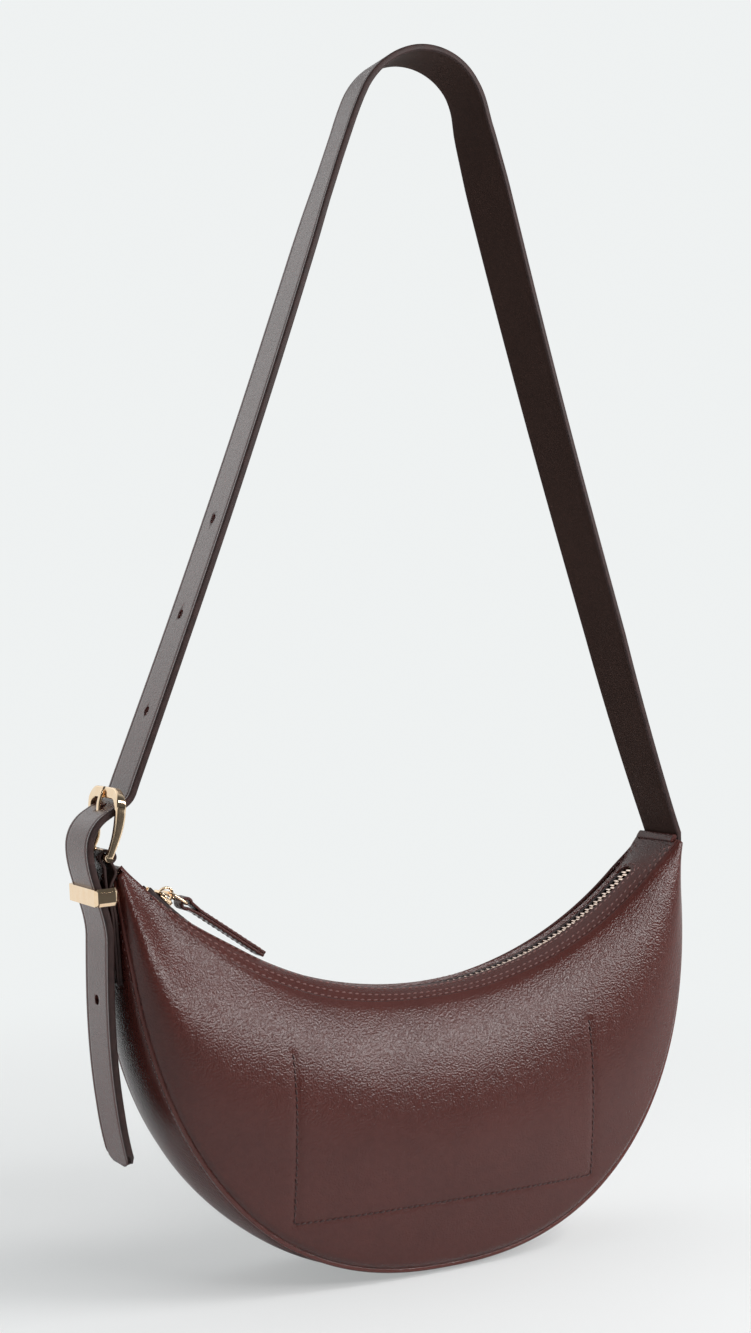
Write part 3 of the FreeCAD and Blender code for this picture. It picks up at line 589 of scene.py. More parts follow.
def make_welts(leather):
    """The raised turned edge along each seam, flatter on its top than a plain cord."""
    place, out, depth, _ = seam(seam_turns(np.linspace(0, 1, 241)))
    oval = squared_oval(WELT_HALF_WIDTH, WELT_HALF_HEIGHT, 0.7, 16)
    for side, word in FRONT_AND_BACK:
        path = place - out * WELT_SINK
        path[:, 1] = side * (depth - WELT_INSET)
        welt = tube(f"{word}_welt", path, side * ACROSS, out, oval, [leather])
        dress(welt, "bag", "leather", f"{word}_piping")


# Top strip


def strip_point(angle, y):
    """Points of the top strip's outer face: pinched flat at the left tip, straight across at the right."""
    edge = np.clip(np.abs(y) / TOP_HALF_WIDTH, 0, 1.2)
    pinch = 1 - smooth_step(*DROOP_END, angle)
    radius = TOP_CREST_RADIUS + np.where(y < 0, TOP_EDGE_DROP, TOP_BACK_DROP) * edge ** 2
    radius = radius + left_sag(angle, y) * edge ** 3
    radius = radius + pinch * TOP_DROOP * np.clip(1 - edge ** 2, 0, 1)
    radius = radius + TOP_LAP_DROP * np.clip((np.abs(y) - TOP_HALF_WIDTH) / TOP_LAP, 0, 1) ** 1.5
    point = zip_point(radius, angle)
    ends = ((TOP_RIGHT_END, TOP_REACH, smooth_step(RIGHT_END_START, TOP_REACH, angle)),
            (TOP_LEFT_END, -TOP_REACH, 1 - smooth_step(-TOP_REACH, LEFT_END_START, angle)))
    for goal, reach, weight in ends:
        point = point + weight[..., None] * (goal - zip_point(radius, reach + 0 * angle))
    point[..., 1] = y * gather(angle)
    return point


def slit_half(angle):
    """Half the slit's width at angles: full along the zip, round at both ends, nothing past them."""
    inside = np.clip(np.minimum(angle - SLIT_LEFT, SLIT_RIGHT - angle) / SLIT_ROUND, 0, 1)
    return SLIT_HALF_WIDTH * np.sqrt(1 - (1 - inside) ** 2)


def turn_upwards(work):
    """Joins the strip's halves past the slit's ends and turns its faces up."""
    merge_points(work, 0.02)
    bmesh.ops.recalc_face_normals(work, faces=work.faces)
    if sum(face.normal.z for face in work.faces) < 0:
        bmesh.ops.reverse_faces(work, faces=work.faces)


def make_top_strip(leather):
    """The arched strip over the mouth, open along its slit, its long edges lapped over the panels."""
    ease = 1 - np.cos(np.linspace(0, math.pi / 2, 13))
    angles = np.concatenate([
        np.linspace(-TOP_REACH, SLIT_LEFT, 8)[:-1],
        SLIT_LEFT + SLIT_ROUND * ease,
        np.linspace(SLIT_LEFT + SLIT_ROUND, SLIT_RIGHT - SLIT_ROUND, 200)[1:-1],
        SLIT_RIGHT - SLIT_ROUND * ease[::-1],
        np.linspace(SLIT_RIGHT, TOP_REACH, 12)[1:],
    ])
    steps = np.linspace(0, 1, 15)
    front = -(TOP_HALF_WIDTH + (slit_half(angles)[:, None] - TOP_HALF_WIDTH) * steps[None])
    lap = -(TOP_HALF_WIDTH + TOP_LAP * np.array([1, 0.9, 0.45]))[None] + 0 * front[:, :1]
    front = np.concatenate([lap, front], 1)
    y = np.concatenate([front, -front[:, ::-1]], 1)
    rows, cols = y.shape
    points = strip_point(np.repeat(angles[:, None], cols, 1), y)
    middle = front.shape[1] - 1
    faces = [quad for quad in grid_faces(rows, cols) if quad[0] % cols != middle]
    strip = build("top_strip_leather", points, faces, [leather])
    edit_mesh(strip, turn_upwards)
    thicken(strip, TOP_THICK, bevel=0.35)
    dress(strip, "bag", "leather", "top_panel")


def make_folded_end(leather):
    """The turned hem of the strip where the strap comes out at the right tip."""
    y = np.linspace(-HEM_HALF_WIDTH, HEM_HALF_WIDTH, 33)
    path = strip_point(np.full_like(y, TOP_REACH), y)
    path[:, 0] += 0.35 - 0.4 * np.abs(y / HEM_HALF_WIDTH) ** 6
    path[:, 2] += 0.45
    piece = tube("strip_hem", path, *tilted(-HEM_SLOPE), squared_oval(2.0, 1.15, 0.5, 22), [leather])
    dress(piece, "bag", "leather")


def make_left_tip(leather):
    """The leather that closes the left tip between the strip's end and the gusset."""
    y = np.linspace(-TIP_COVER_HALF_WIDTH, TIP_COVER_HALF_WIDTH, 25)
    near = strip_point(np.full_like(y, -TOP_REACH + 0.6), y)
    place, out, _, _ = seam(180 - SEAM_END_TURN)
    far = np.repeat((place + out * 0.2)[None], len(y), 0)
    far[:, 1] = near[:, 1] * 0.9
    share = np.linspace(0, 1, 9)[:, None, None]
    rows = near + (far - near) * share
    rows[..., 2] += 0.9 * np.sin(math.pi * share[..., 0])
    tip = sheet_piece("left_tip_leather", rows, leather, 1.2)
    dress(tip, "bag", "leather")


# Stitching


def stitch_row(name, centres, along, normal, thread, body="bag", length=2.2, width=0.74):
    """A row of short thread stitches, each a rounded bead sunk at its ends, in one piece."""
    centres = np.asarray(centres, float)
    along, normal = (np.broadcast_to(np.asarray(way, float), centres.shape) for way in (along, normal))
    lean = math.radians(STITCH_SLANT)
    run = along * math.cos(lean) + np.cross(normal, along) * math.sin(lean)
    over = np.cross(normal, run)
    rings, sides = 7, 7
    reach = np.linspace(-1, 1, rings)[:, None]
    girth = np.sqrt(1 - (reach * 0.97) ** 2) ** 0.6
    turn = np.linspace(0, 2 * math.pi, sides + 1)[None, :-1]
    # Each point of a bead by its place along the stitch, over it and out of the leather
    bead = (reach * length / 2 + 0 * turn, girth * np.cos(turn) * width / 2,
            girth * np.sin(turn) * width * 0.42 - 0.22 * np.abs(reach) ** 3)
    points = centres[:, None, None]
    for way, amount in zip((run, over, normal), bead):
        points = points + way[:, None, None] * amount[..., None]
    template = np.array(grid_faces(rings, sides, wrap_cols=True))
    faces = []
    for start in range(0, len(centres) * rings * sides, rings * sides):
        faces += (template + start).tolist()
        faces += [[start + k for k in face] for face in end_faces(rings, sides)]
    piece = build(name, points, faces, [thread])
    edit_mesh(piece, turn_outwards)
    dress(piece, body, "leather")


def strip_stitches(thread):
    """Three rows on each half of the top strip: one beside the slit and two beside the panel's seam."""
    rows = (("slit", SLIT_STITCH_PLACE, SLIT_LEFT, SLIT_RIGHT), ("inner", 10.9, -46.2, 46.0),
            ("edge", 13.3, -46.6, 46.4))
    for side, word in FRONT_AND_BACK:
        for place, y, first, last in rows:
            count = int(math.radians(last - first) * TOP_CREST_RADIUS / STRIP_STITCH_SPACING)
            angle = np.linspace(first, last, count)
            flat = np.full(count, side * y)
            centre = strip_point(angle, flat)
            ahead = strip_point(angle + 0.1, flat) - centre
            aside = strip_point(angle, flat + 0.1) - centre
            normal = unit(np.cross(ahead, aside))
            normal *= np.sign(normal[:, 2:])
            stitch_row(f"stitches_{word}_{place}", centre, unit(ahead), normal, thread)


def slit_end_stitches(thread):
    """The rows beside the slit join in an arch round its right end."""
    turn = np.radians(np.linspace(-78, 78, 8))
    angle = SLIT_RIGHT - SLIT_ROUND + np.degrees(SLIT_STITCH_PLACE * np.cos(turn) / TOP_CREST_RADIUS)
    y = SLIT_STITCH_PLACE * np.sin(turn)
    centre = strip_point(angle, y)
    onward = angle - np.degrees(0.1 * np.sin(turn) / TOP_CREST_RADIUS)
    ahead = strip_point(onward, y + 0.1 * np.cos(turn)) - centre
    stitch_row("stitches_slit_end", centre, unit(ahead), tilted(-angle)[1], thread)


def pocket_stitches(panel, thread):
    """The U of stitching that holds the inner pocket to the front panel."""
    tree = BVHTree.FromObject(panel, bpy.context.evaluated_depsgraph_get())
    corners = [(POCKET_LEFT, POCKET_HIGH), (POCKET_LEFT, POCKET_LOW), (POCKET_RIGHT, POCKET_LOW),
               (POCKET_RIGHT, POCKET_HIGH)]
    centres, alongs, normals = [], [], []
    for first, last in zip(corners, corners[1:]):
        count = int(math.dist(first, last) / POCKET_STITCH_SPACING)
        way = Vector((last[0] - first[0], 0, last[1] - first[1]))
        for k in range(count):
            spot = Vector((first[0], -90, first[1])) + way * (k + 0.5) / count
            hit, normal, _, _ = tree.ray_cast(spot * MM, Vector((0, 1, 0)))
            along = way.normalized()
            alongs.append((along - normal * along.dot(normal)).normalized())
            centres.append(hit / MM + normal * 0.12)
            normals.append(normal)
    stitch_row("stitches_pocket", centres, alongs, normals, thread, length=2.3, width=0.8)


def welt_stitches(thread):
    """The close row that shows on the gusset's side of each raised edge."""
    turn = np.linspace(3, 177, 190)
    place, out, depth, _ = seam(turn)
    along = unit(seam(turn + 0.2)[0] - place)
    for side, word in FRONT_AND_BACK:
        centre = place + out * 0.05
        centre[:, 1] = side * (depth - 3.3)
        stitch_row(f"stitches_{word}_welt", centre, along, out, thread, length=1.7, width=0.5)


# Strap


def route(start, heading, moves, step=1.2):
    """Follows lines (length) and arcs (radius, turn); a heading counts from straight down to the left."""
    points = [np.array(start, float)]
    for move in moves:
        origin = points[-1]
        if isinstance(move, tuple):
            radius, turn = move
            count = max(int(abs(math.radians(turn)) * radius / step), 4)
            turns = heading + turn * np.arange(1, count + 1) / count
            a, b = np.radians(heading), np.radians(turns)
            shift = np.stack([np.cos(b) - np.cos(a), 0 * b, np.sin(a) - np.sin(b)], -1)
            points += list(origin + shift * math.copysign(radius, turn))
            heading = turns[-1]
        else:
            count = max(int(move / (4 * step)), 2)
            _, up = tilted(heading)
            points += [origin - up * move * k / count for k in range(1, count + 1)]
    return np.array(points)


def leg_point(side, lean, drop):
    """A point of the strap's middle layer on a leg at a drop below the crown."""
    angle = math.radians(lean)
    top = np.array([side * CROWN_RADIUS * math.cos(angle), 0, CROWN_RADIUS * (math.sin(angle) - 1)])
    inner = top + np.array([side * math.tan(angle), 0, -1.0]) * (drop + top[2])
    return inner + side * tilted(-side * lean)[0] * STRAP_THICK / 2


def strap_route():
    """The middle of the strap's thickness from the right tip over the crown and through the buckle."""
    start = leg_point(1, LEAN_RIGHT, ROOT_DROP)
    crown_start = leg_point(1, LEAN_RIGHT, CROWN_RADIUS * (1 - math.sin(math.radians(LEAN_RIGHT))))
    crown_end = leg_point(-1, LEAN_LEFT, CROWN_RADIUS * (1 - math.sin(math.radians(LEAN_LEFT))))
    left_end = leg_point(-1, LEAN_LEFT, LEFT_LEG_DROP)
    moves = [
        float(np.linalg.norm(crown_start - start)),
        (CROWN_RADIUS + STRAP_THICK / 2, LEAN_LEFT + LEAN_RIGHT - 180),
        float(np.linalg.norm(left_end - crown_end)),
        4.6,
        (9.0, BULGE_TURN - LEAN_LEFT),
        9.0,
        (14.5, -BULGE_TURN),
    ]
    points = route(start, 180 - LEAN_RIGHT, moves)
    return np.concatenate([points, sway_down(points[-1], TAIL_TOP[2] - TAIL_LENGTH)])


def sway_down(start, low):
    """The strap below its bulge: it swings in under the keeper, then hangs out towards the bag."""
    heights = np.arange(start[2] - 1.0, low - 0.01, -1.0)
    inward = smooth_step(0, 1, (start[2] - heights) / (start[2] - TAIL_TOP[2]))
    below = np.clip(TAIL_TOP[2] - heights, 0, None)
    x = start[0] + (TAIL_TOP[0] - start[0]) * inward + TAIL_DRIFT * (below / TAIL_LENGTH) ** 2.6
    return np.stack([x, 0 * x, heights], -1)


def hang(points):
    """Lets the legs bow, the right one turn in at its root, and the crown stand up."""
    drop = -points[:, 2]
    flare = 3.6 * np.clip((drop - 250) / 92, 0, 1.1) ** 2 - 0.9 * np.clip(drop - 345, 0, None)
    right_bow = -1.5 * np.sin(math.pi * np.clip((drop - 30) / 220, 0, 1))
    left_bow = 1.8 * np.sin(math.pi * np.clip((drop - 70) / 240, 0, 1))
    crown = 1 - smooth_step(-3, 28, drop)
    points[:, 0] += np.where(points[:, 0] > 0, flare + right_bow, left_bow) + 3.2 * crown
    points[:, 2] += 1.5 * crown
    return points


def strap_lines():
    """The whole strap's middle and outer side, and the row inside the keeper where its free end begins."""
    points = hang(strap_route())
    return points, path_out(points), int(np.argmax(points[:, 2] < BUTT_HEIGHT))


def strap_twist(points):
    """Turn of the strap about its length: its front edge stands out on the legs and sits low at the crown."""
    # Drop below the crown, counted negative down the left leg, and the turn in degrees there
    places = [-335, -295, -255, -204, -153, -119, -85, -68, -51, -34, -20, -8, 0,
              8, 16, 30, 50, 75, 130, 250, 335]
    turns = [0, 0.8, 1.8, 2.3, 3.2, 3.6, 4.6, 6.5, 8, 8, 6, 3, 1, 0, 2, 8, 13, 12.5, 10.5, 7, 0]
    drop = np.clip(-points[:, 2], 0, None) * np.sign(points[:, 0])
    return np.radians(np.interp(drop, places, turns))


def strap_piece(name, path, across, outward, materials, ends):
    """A length of the strap with painted edges and a pressed line along each of them."""
    section, kinds = band_section(STRAP_WIDTH, STRAP_THICK, 0.75, crease=0.3)
    return tube(name, path, across, outward, section, materials, kinds, cap_slot=1, ends=ends)


def make_strap(materials):
    """One strap from the right tip to the keeper, with its holes."""
    points, out, last = strap_lines()
    points, out = points[:last + 1], out[:last + 1]
    twist = strap_twist(points)[:, None]
    across = ACROSS * np.cos(twist) - out * np.sin(twist)
    outward = out * np.cos(twist) + ACROSS * np.sin(twist)
    strap = strap_piece("strap_leather", points, across, outward, materials, (True, False))
    cut_holes(strap, strap_holes())
    dress(strap, None, "leather", "strap_outer", "strap_lining", "strap_root", "strap_loop")
    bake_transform(strap)


def strap_holes():
    """The three free holes and the one that the prong is in."""
    holes = []
    for k in range(3):
        drop = LOWEST_HOLE_DROP - k * HOLE_PITCH * math.cos(math.radians(LEAN_LEFT))
        holes.append((leg_point(-1, LEAN_LEFT, drop), -tilted(LEAN_LEFT)[0], HOLE_RADIUS, 9.0))
    return holes + [(*prong_crossing(), HOLE_RADIUS, 6.0)]


def prong_crossing():
    """Where the prong's axis comes out of the strap's outer face, and the strap's outer side there."""
    points, out, _ = strap_lines()
    near = (points[:, 0] < 0) & (points[:, 2] < -308) & (points[:, 2] > -335)
    face = points + out * STRAP_THICK / 2
    off_axis = np.linalg.norm(np.cross(face - BASE_BAR, prong_direction()), axis=-1)
    place = int(np.argmin(np.where(near, off_axis, np.inf)))
    return points[place], out[place]


def make_tail(materials):
    """The free end of the strap from the keeper down, square with rounded corners, with one spare hole."""
    points, out, first = strap_lines()
    path, out = points[first:], out[first:]
    tail = strap_piece("strap_tail_leather", path, ACROSS, out, materials, (False, True))
    round_tail_corners(tail, path[-1], unit(path[-1] - path[-2]))
    place = int(np.argmin(np.abs(path[:, 2] - TAIL_HOLE_HEIGHT)))
    cut_holes(tail, [(path[place], out[place], HOLE_RADIUS, 9.0)])
    dress(tail, None, "leather", "strap_tail")
    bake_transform(tail)


def round_tail_corners(tail, tip, along):
    """Draws the tail's two corners in to a round by sliding points along the strap."""
    radius = TAIL_CORNER
    for vertex in tail.data.vertices:
        point = np.array(vertex.co) / MM
        past = abs(point[1]) - (STRAP_WIDTH / 2 - radius)
        back = float((tip - point) @ along)
        if past <= 0 or back > 3 * radius:
            continue
        inset = radius - math.sqrt(max(radius ** 2 - min(past, radius) ** 2, 0))
        share = np.clip(1 - back / (3 * radius), 0, 1)
        vertex.co = Vector((point - along * inset * share) * MM)


# Buckle and keeper


def prong_direction():
    """From the base bar towards the prong's tip."""
    back, up = tilted(FRAME_LEAN)
    return unit(up * 28.2 - back * 3.5)


def frame_outline():
    """The buckle frame's middle line as (across, up) points, from one foot over the top to the other."""
    half, corner = FRAME_HALF_WIDTH, FRAME_CORNER
    shoulder = FRAME_TOP - corner
    bend = np.radians(np.linspace(0, 90, 49))[1:]
    line = [(FRAME_FOOT + (half - FRAME_FOOT) * t, shoulder * t) for t in np.linspace(0, 1, 26)]
    line += [(half - corner + corner * math.cos(t), shoulder + corner * math.sin(t)) for t in bend]
    line += [((half - corner) * (1 - t), FRAME_TOP) for t in np.linspace(0, 1, 9)[1:]]
    return np.array(line + [(-a, b) for a, b in line[-2::-1]])


def make_buckle_frame(gold):
    """A horseshoe with a broad notched top bar and arms that taper to the base bar."""
    back, up = tilted(FRAME_LEAN)
    outline = frame_outline()
    run = path_run(outline)
    height = np.clip(outline[:, 1] / FRAME_TOP, 0, 1)
    path = BASE_BAR + ACROSS * outline[:, :1] + up * outline[:, 1:]
    # Seen from the side the arms bow towards the strap
    path = path + back * (1.5 * np.sin(math.pi * height))[:, None]
    breadth = 1.2 + 1.1 * smooth_step(0.72, 1.0, height)
    depth = 1.35 + 0.75 * smooth_step(0.05, 0.7, height) - 0.6 * smooth_step(0.85, 1.0, height)
    sections = [squared_oval(b, d, 0.4, 40) for b, d in zip(breadth, depth)]
    bow = tube("buckle_bow", path, ACROSS * run[:, 1:] - up * run[:, :1], back, sections, [gold])
    cut_holes(bow, [(BASE_BAR + up * FRAME_TOP - back * 1.7, up, 1.35, 8.0)])
    round_edges(bow, 0.25, angle=50)
    bake(bow)
    dress(bow, "buckle_frame", "gold", "buckle_frame")
    ends = np.linspace(-FRAME_FOOT - 0.9, FRAME_FOOT + 0.9, 9)
    ring = squared_oval(BASE_BAR_RADIUS, BASE_BAR_RADIUS, 1.0)
    bar = tube("buckle_base_bar", BASE_BAR + ACROSS * ends[:, None], back, up, ring, [gold])
    dress(bar, "buckle_frame", "gold")


def make_prong(gold):
    """A tapered prong rolled round the base bar, its tip lying on the top bar."""
    way = prong_direction()
    side = np.cross(ACROSS, way)
    roll = np.radians(np.linspace(-250, 0, 25))[:, None]
    curl = BASE_BAR - PRONG_ROLL * (side * np.cos(roll) + way * np.sin(roll))
    straight = np.linspace(0.5, PRONG_LENGTH, 24)
    lift = 1.1 * smooth_step(0.75, 1.0, straight / PRONG_LENGTH)
    lift -= PRONG_ROLL * (1 - smooth_step(0, 9, straight))
    path = np.concatenate([curl, BASE_BAR + side * lift[:, None] + way * straight[:, None]])
    share = np.concatenate([np.zeros(len(curl)), straight / PRONG_LENGTH])
    breadth = np.where(share > 0, 1.75 - 0.6 * share, 1.9)
    depth = np.where(share > 0, 1.0 - 0.2 * share, 0.62)
    depth = np.where((share > 0) & (share < 0.25), 0.62 + 0.35 * share / 0.25, depth)
    tip = np.sqrt(np.clip(1 - np.clip((share - 0.93) / 0.075, 0, 1) ** 2, 0.02, 1))
    sections = [squared_oval(b * t, d * t, 0.75, 18) for b, d, t in zip(breadth, depth, tip)]
    prong = tube("buckle_prong_metal", path, ACROSS, -path_out(path), sections, [gold])
    dress(prong, "buckle_prong", "gold", "buckle_prong")


def keeper_plan():
    """The keeper's loop as (back, across) points: front plate, sides and back bar, with cut corners."""
    front, rear, half = KEEPER_FRONT, KEEPER_REAR, KEEPER_HALF_WIDTH
    near, far = 0.6, 1.0
    corners = [(front, near - half), (front, half - near), (front + near, half), (rear - far, half),
               (rear, half - far), (rear, far - half), (rear - far, -half), (front + near, -half)]
    plan = []
    for corner, after in zip(corners, corners[1:] + corners[:1]):
        steps = 12 if math.dist(corner, after) > 4 else 4
        shares = np.linspace(0, 1, steps, endpoint=False)[:, None]
        plan.append(np.array(corner) + (np.array(after) - np.array(corner)) * shares)
    return np.concatenate(plan)


def make_keeper(gold):
    """A square loop with a flat full-height front and sides bevelled to a narrower facet."""
    back, up = tilted(KEEPER_HEADING)
    plan = keeper_plan()
    run = path_run(plan, closed=True)
    facing = np.clip(run[:, 1], 0, 1)
    high, thick = KEEPER_HALF_HEIGHT, KEEPER_HALF_THICK
    sections = []
    for facet in 3.35 - 1.25 * (1 - facing):
        sections.append([(-high, -thick), (high, -thick), (high, -0.1), (facet, thick), (-facet, thick),
                         (-high, -0.1)])
    path = KEEPER_CENTRE + back * plan[:, :1] + ACROSS * plan[:, 1:]
    outward = ACROSS * run[:, :1] - back * run[:, 1:]
    keeper = tube("keeper_metal", path, up, outward, sections, [gold], closed=True)
    round_edges(keeper, 0.14, angle=18, crisp=True)
    bake(keeper)
    dress(keeper, "keeper", "gold", "keeper")


def curve_through(keys, step=1.0):
    """A smooth line through key points, in even steps."""
    padded = np.concatenate([[2 * keys[0] - keys[1]], keys, [2 * keys[-1] - keys[-2]]])
    points = [keys[0]]
    for a, b, c, d in zip(padded, padded[1:], padded[2:], padded[3:]):
        count = max(int(np.linalg.norm(c - b) / step), 2)
        for t in np.arange(1, count + 1) / count:
            points.append(0.5 * (2 * b + (c - a) * t + (2 * a - 5 * b + 4 * c - d) * t ** 2
                                 + (3 * b - a - 3 * c + d) * t ** 3))
    return np.array(points)


def make_tab(materials):
    """The tab: one strip folded round the base bar, its two layers sewn together on the gusset."""
    down = curve_through(TAB_LINE)
    out = path_out(down)
    below = BASE_BAR[2] - down[:, 2]
    apart = TAB_LAYER / 2 + 0.03
    slack = TAB_SLACK * np.exp(-((below - 6.0) / 4.2) ** 2)
    outside = down + out * apart
    inside = down - out * (apart + slack)[:, None]
    radius = 2.0 + TAB_LAYER / 2
    right, up = tilted(0.0)
    fold = []
    for t in np.radians(np.linspace(35, 325, 30)):
        reach = radius * (TAB_FOLD_STRETCH if math.sin(t) > 0 else 1.0)
        fold.append(BASE_BAR - up * radius * math.cos(t) + right * reach * math.sin(t))
    keep = below > 4.0
    path = np.concatenate([inside[keep][::-1], fold, outside[keep]])
    tab = slotted_band("buckle_tab_leather", path, materials)
    dress(tab, None, "leather", "buckle_tab")
    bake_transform(tab)


def slotted_band(name, path, materials):
    """The tab's strip along its path, with the slot in its fold that the prong comes out of."""
    open_rows = np.flatnonzero(path[:, 2] > BASE_BAR[2] - TAB_SLOT_END)
    first, last = int(open_rows[0]), int(open_rows[-1])
    section, kinds = band_section(TAB_WIDTH, TAB_LAYER, 0.4)
    count = len(section)
    upper = [k for k, (a, n) in enumerate(section) if n > 0 and abs(a) < TAB_SLOT_HALF]
    lower = [k for k, (a, n) in enumerate(section) if n < 0 and abs(a) < TAB_SLOT_HALF][::-1]
    cut = set(upper[:-1]) | set(lower[1:])
    section = np.array(section)
    points = path[:, None] + path_out(path)[:, None] * section[None, :, 1:]
    points[..., 1] = section[None, :, 0]
    faces, slots = [], []
    for k, face in enumerate(grid_faces(len(path), count, wrap_cols=True)):
        if first <= k // count < last and k % count in cut:
            continue
        faces.append(face)
        slots.append(kinds[k % count])
    walls = [(r, upper[e], r + 1, lower[e]) for r in range(first, last) for e in (0, -1)]
    walls = [[r * count + u, after * count + u, after * count + w, r * count + w] for r, u, after, w in walls]
    for r in (first, last):
        for j in range(len(upper) - 1):
            walls.append([r * count + k for k in (upper[j], upper[j + 1], lower[j + 1], lower[j])])
    plain = end_faces(len(path), count) + walls
    tab = build(name, points, faces + plain, materials, slots + [1] * len(plain))
    edit_mesh(tab, turn_outwards)
    return tab


# Zip


def make_teeth(gold):
    """Two rows of rounded teeth that mesh with each other."""
    pitch = math.degrees(TOOTH_PITCH / TOOTH_RADIUS)
    for side, word in FRONT_AND_BACK:
        start = TEETH_START + (pitch / 2 if side > 0 else 0)
        tooth = box_outline(-0.62, 0.62, side * 1.05 - 1.75, side * 1.05 + 1.75)
        work = bmesh.new()
        for k in range(int((TEETH_END - start) / pitch)):
            angle = start + k * pitch
            prism(work, zip_point(TOOTH_RADIUS, angle), angle, tooth, -1.1, 1.1)
        row = cast_piece(f"zip_teeth_{word}_metal", work, gold, 0.36)
        dress(row, "bag", "gold", f"zip_teeth_{word}")


def make_tapes(tape):
    """The woven tapes beside the teeth, running in under the strip."""
    angle = np.linspace(TAPE_START, SLIT_RIGHT + 0.4, 181)
    _, up = tilted(-angle)
    level = zip_point(TOOTH_RADIUS - 0.3, angle)
    for side, word in FRONT_AND_BACK:
        grid = []
        for y in (3.0, 3.25, 4.2, 5.0, 6.0, 7.2, 9.0, 11.5):
            above = strip_point(angle, np.full_like(angle, side * y))
            under = ((above - level) * up).sum(-1) - TOP_THICK - 0.3
            row = level + up * (np.minimum(under, 0) * smooth_step(3.2, 5.5, y))[:, None]
            row[:, 1] = side * y
            grid.append(row)
        piece = sheet_piece(f"zip_tape_{word}_cloth", np.array(grid), tape, TAPE_THICK, flip=side > 0)
        dress(piece, "bag", "zip_tape", f"zip_tape_{word}")


def plate_outline(length, width):
    """A slider plate's outline with a round nose and a broad round end."""
    half = length / 2
    turn = np.radians(np.linspace(-90, 90, 13))
    nose = [(half - 2.6 + 2.6 * math.cos(t), (width / 2 - 0.9) * math.sin(t)) for t in turn]
    tail = [(-half + 1.6 - 1.6 * math.cos(t), width / 2 * math.sin(t)) for t in turn[::-1]]
    return nose + tail


def make_slider(gold):
    """Two rounded plates on a post, with side flanges and an arched bridge."""
    place = zip_point(TOOTH_RADIUS, SLIDER_ANGLE)
    plate = plate_outline(9.0, 8.4)
    blocks = [(plate, 1.5, 2.8), (plate, -2.8, -1.5), (box_outline(-4.3, -2.7, -1.2, 1.2), -1.6, 1.6)]
    for near, far in ((-4.1, -3.4), (3.4, 4.1)):
        rim = box_outline(-3.0, 2.4, near, far)
        blocks += [(rim, 0.8, 1.6), (rim, -1.6, -0.8)]
    work = bmesh.new()
    for outline, low, high in blocks:
        prism(work, place, SLIDER_ANGLE, outline, low, high)
    slider = cast_piece("zip_slider_metal", work, gold, 0.28, angle=50)
    dress(slider, "zip_slider", "gold", "zip_slider")
    along, up = tilted(-SLIDER_ANGLE)
    turn = np.radians(np.linspace(0, 180, 25))
    arch = np.array([place + along * 2.9 * math.cos(t) + up * (2.4 + 4.3 * math.sin(t) ** 0.8) for t in turn])
    wire = squared_oval(1.0, 0.5, 0.7, 16)
    bridge = tube("zip_slider_bridge", arch, ACROSS, -path_out(arch), wire, [gold])
    dress(bridge, "zip_slider", "gold")


def puller_hinge():
    """Where the puller's near bar goes through the bridge."""
    return zip_point(TOOTH_RADIUS - PULLER_PIN_HEIGHT, SLIDER_ANGLE)


def make_puller(gold):
    """A link of round wire bent to a rounded rectangle."""
    along, up = tilted(PULLER_SLOPE)
    corner = PULLER_CORNER
    far, side = PULLER_LENGTH - corner, PULLER_HALF_WIDTH - corner
    plan = []
    for x, y, first in ((far, side, 0), (corner, side, 90), (corner, -side, 180), (far, -side, 270)):
        for t in np.radians(np.linspace(first, first + 90, 9)):
            plan.append((x + corner * math.cos(t), y + corner * math.sin(t)))
    plan = np.array(plan)
    run = path_run(plan, closed=True)
    path = puller_hinge() + along * plan[:, :1] + ACROSS * plan[:, 1:]
    outward = along * run[:, 1:] - ACROSS * run[:, :1]
    wire = squared_oval(0.65, 0.65, 1.0, 14)
    puller = tube("zip_puller_metal", path, outward, up, wire, [gold], closed=True)
    dress(puller, "zip_puller", "gold", "zip_puller")


def make_pull(leather, thread):
    """The leather pull: a strip folded round the link, its two layers sewn."""
    along, up = tilted(PULL_SLOPE)
    hinge = puller_hinge() + tilted(PULLER_SLOPE)[0] * PULLER_LENGTH
    radius = 1.55 + PULL_LAYER / 2
    reach = np.linspace(PULL_LENGTH, 4.2, 30)[:, None]
    apart = PULL_LAYER / 2 + 0.02 + 0.5 * smooth_step(8, 3, reach)
    roll = np.radians(np.linspace(-140, 140, 31))[:, None]
    low = hinge + along * reach - up * apart
    eye = hinge - along * radius * np.cos(roll) + up * radius * np.sin(roll)
    high = hinge + along * reach[::-1] + up * apart[::-1]
    path = np.concatenate([low, eye, high])
    section, _ = band_section(PULL_WIDTH, PULL_LAYER, 0.42)
    pull = tube("zip_pull_leather", path, ACROSS, -path_out(path), section, [leather])
    dress(pull, "zip_pull", "leather", "zip_pull")
    spots = np.arange(8.0, PULL_LENGTH - 1.5, PULL_STITCH_SPACING)[:, None]
    for side, word in FRONT_AND_BACK:
        for face, layer in ((1, "upper"), (-1, "lower")):
            centres = hinge + along * spots + ACROSS * side * 2.7 + up * face * (PULL_LAYER + 0.08)
            stitch_row(f"stitches_pull_{layer}_{word}", centres, along, up * face, thread, "zip_pull",
                       length=1.8, width=0.45)


# Materials


def feed(tree, node, inputs):
    """Gives a node's inputs their values or joins them to other nodes' outputs."""
    for name, value in inputs.items():
        if isinstance(value, bpy.types.NodeSocket):
            tree.links.new(value, node.inputs[name])
        else:
            node.inputs[name].default_value = value


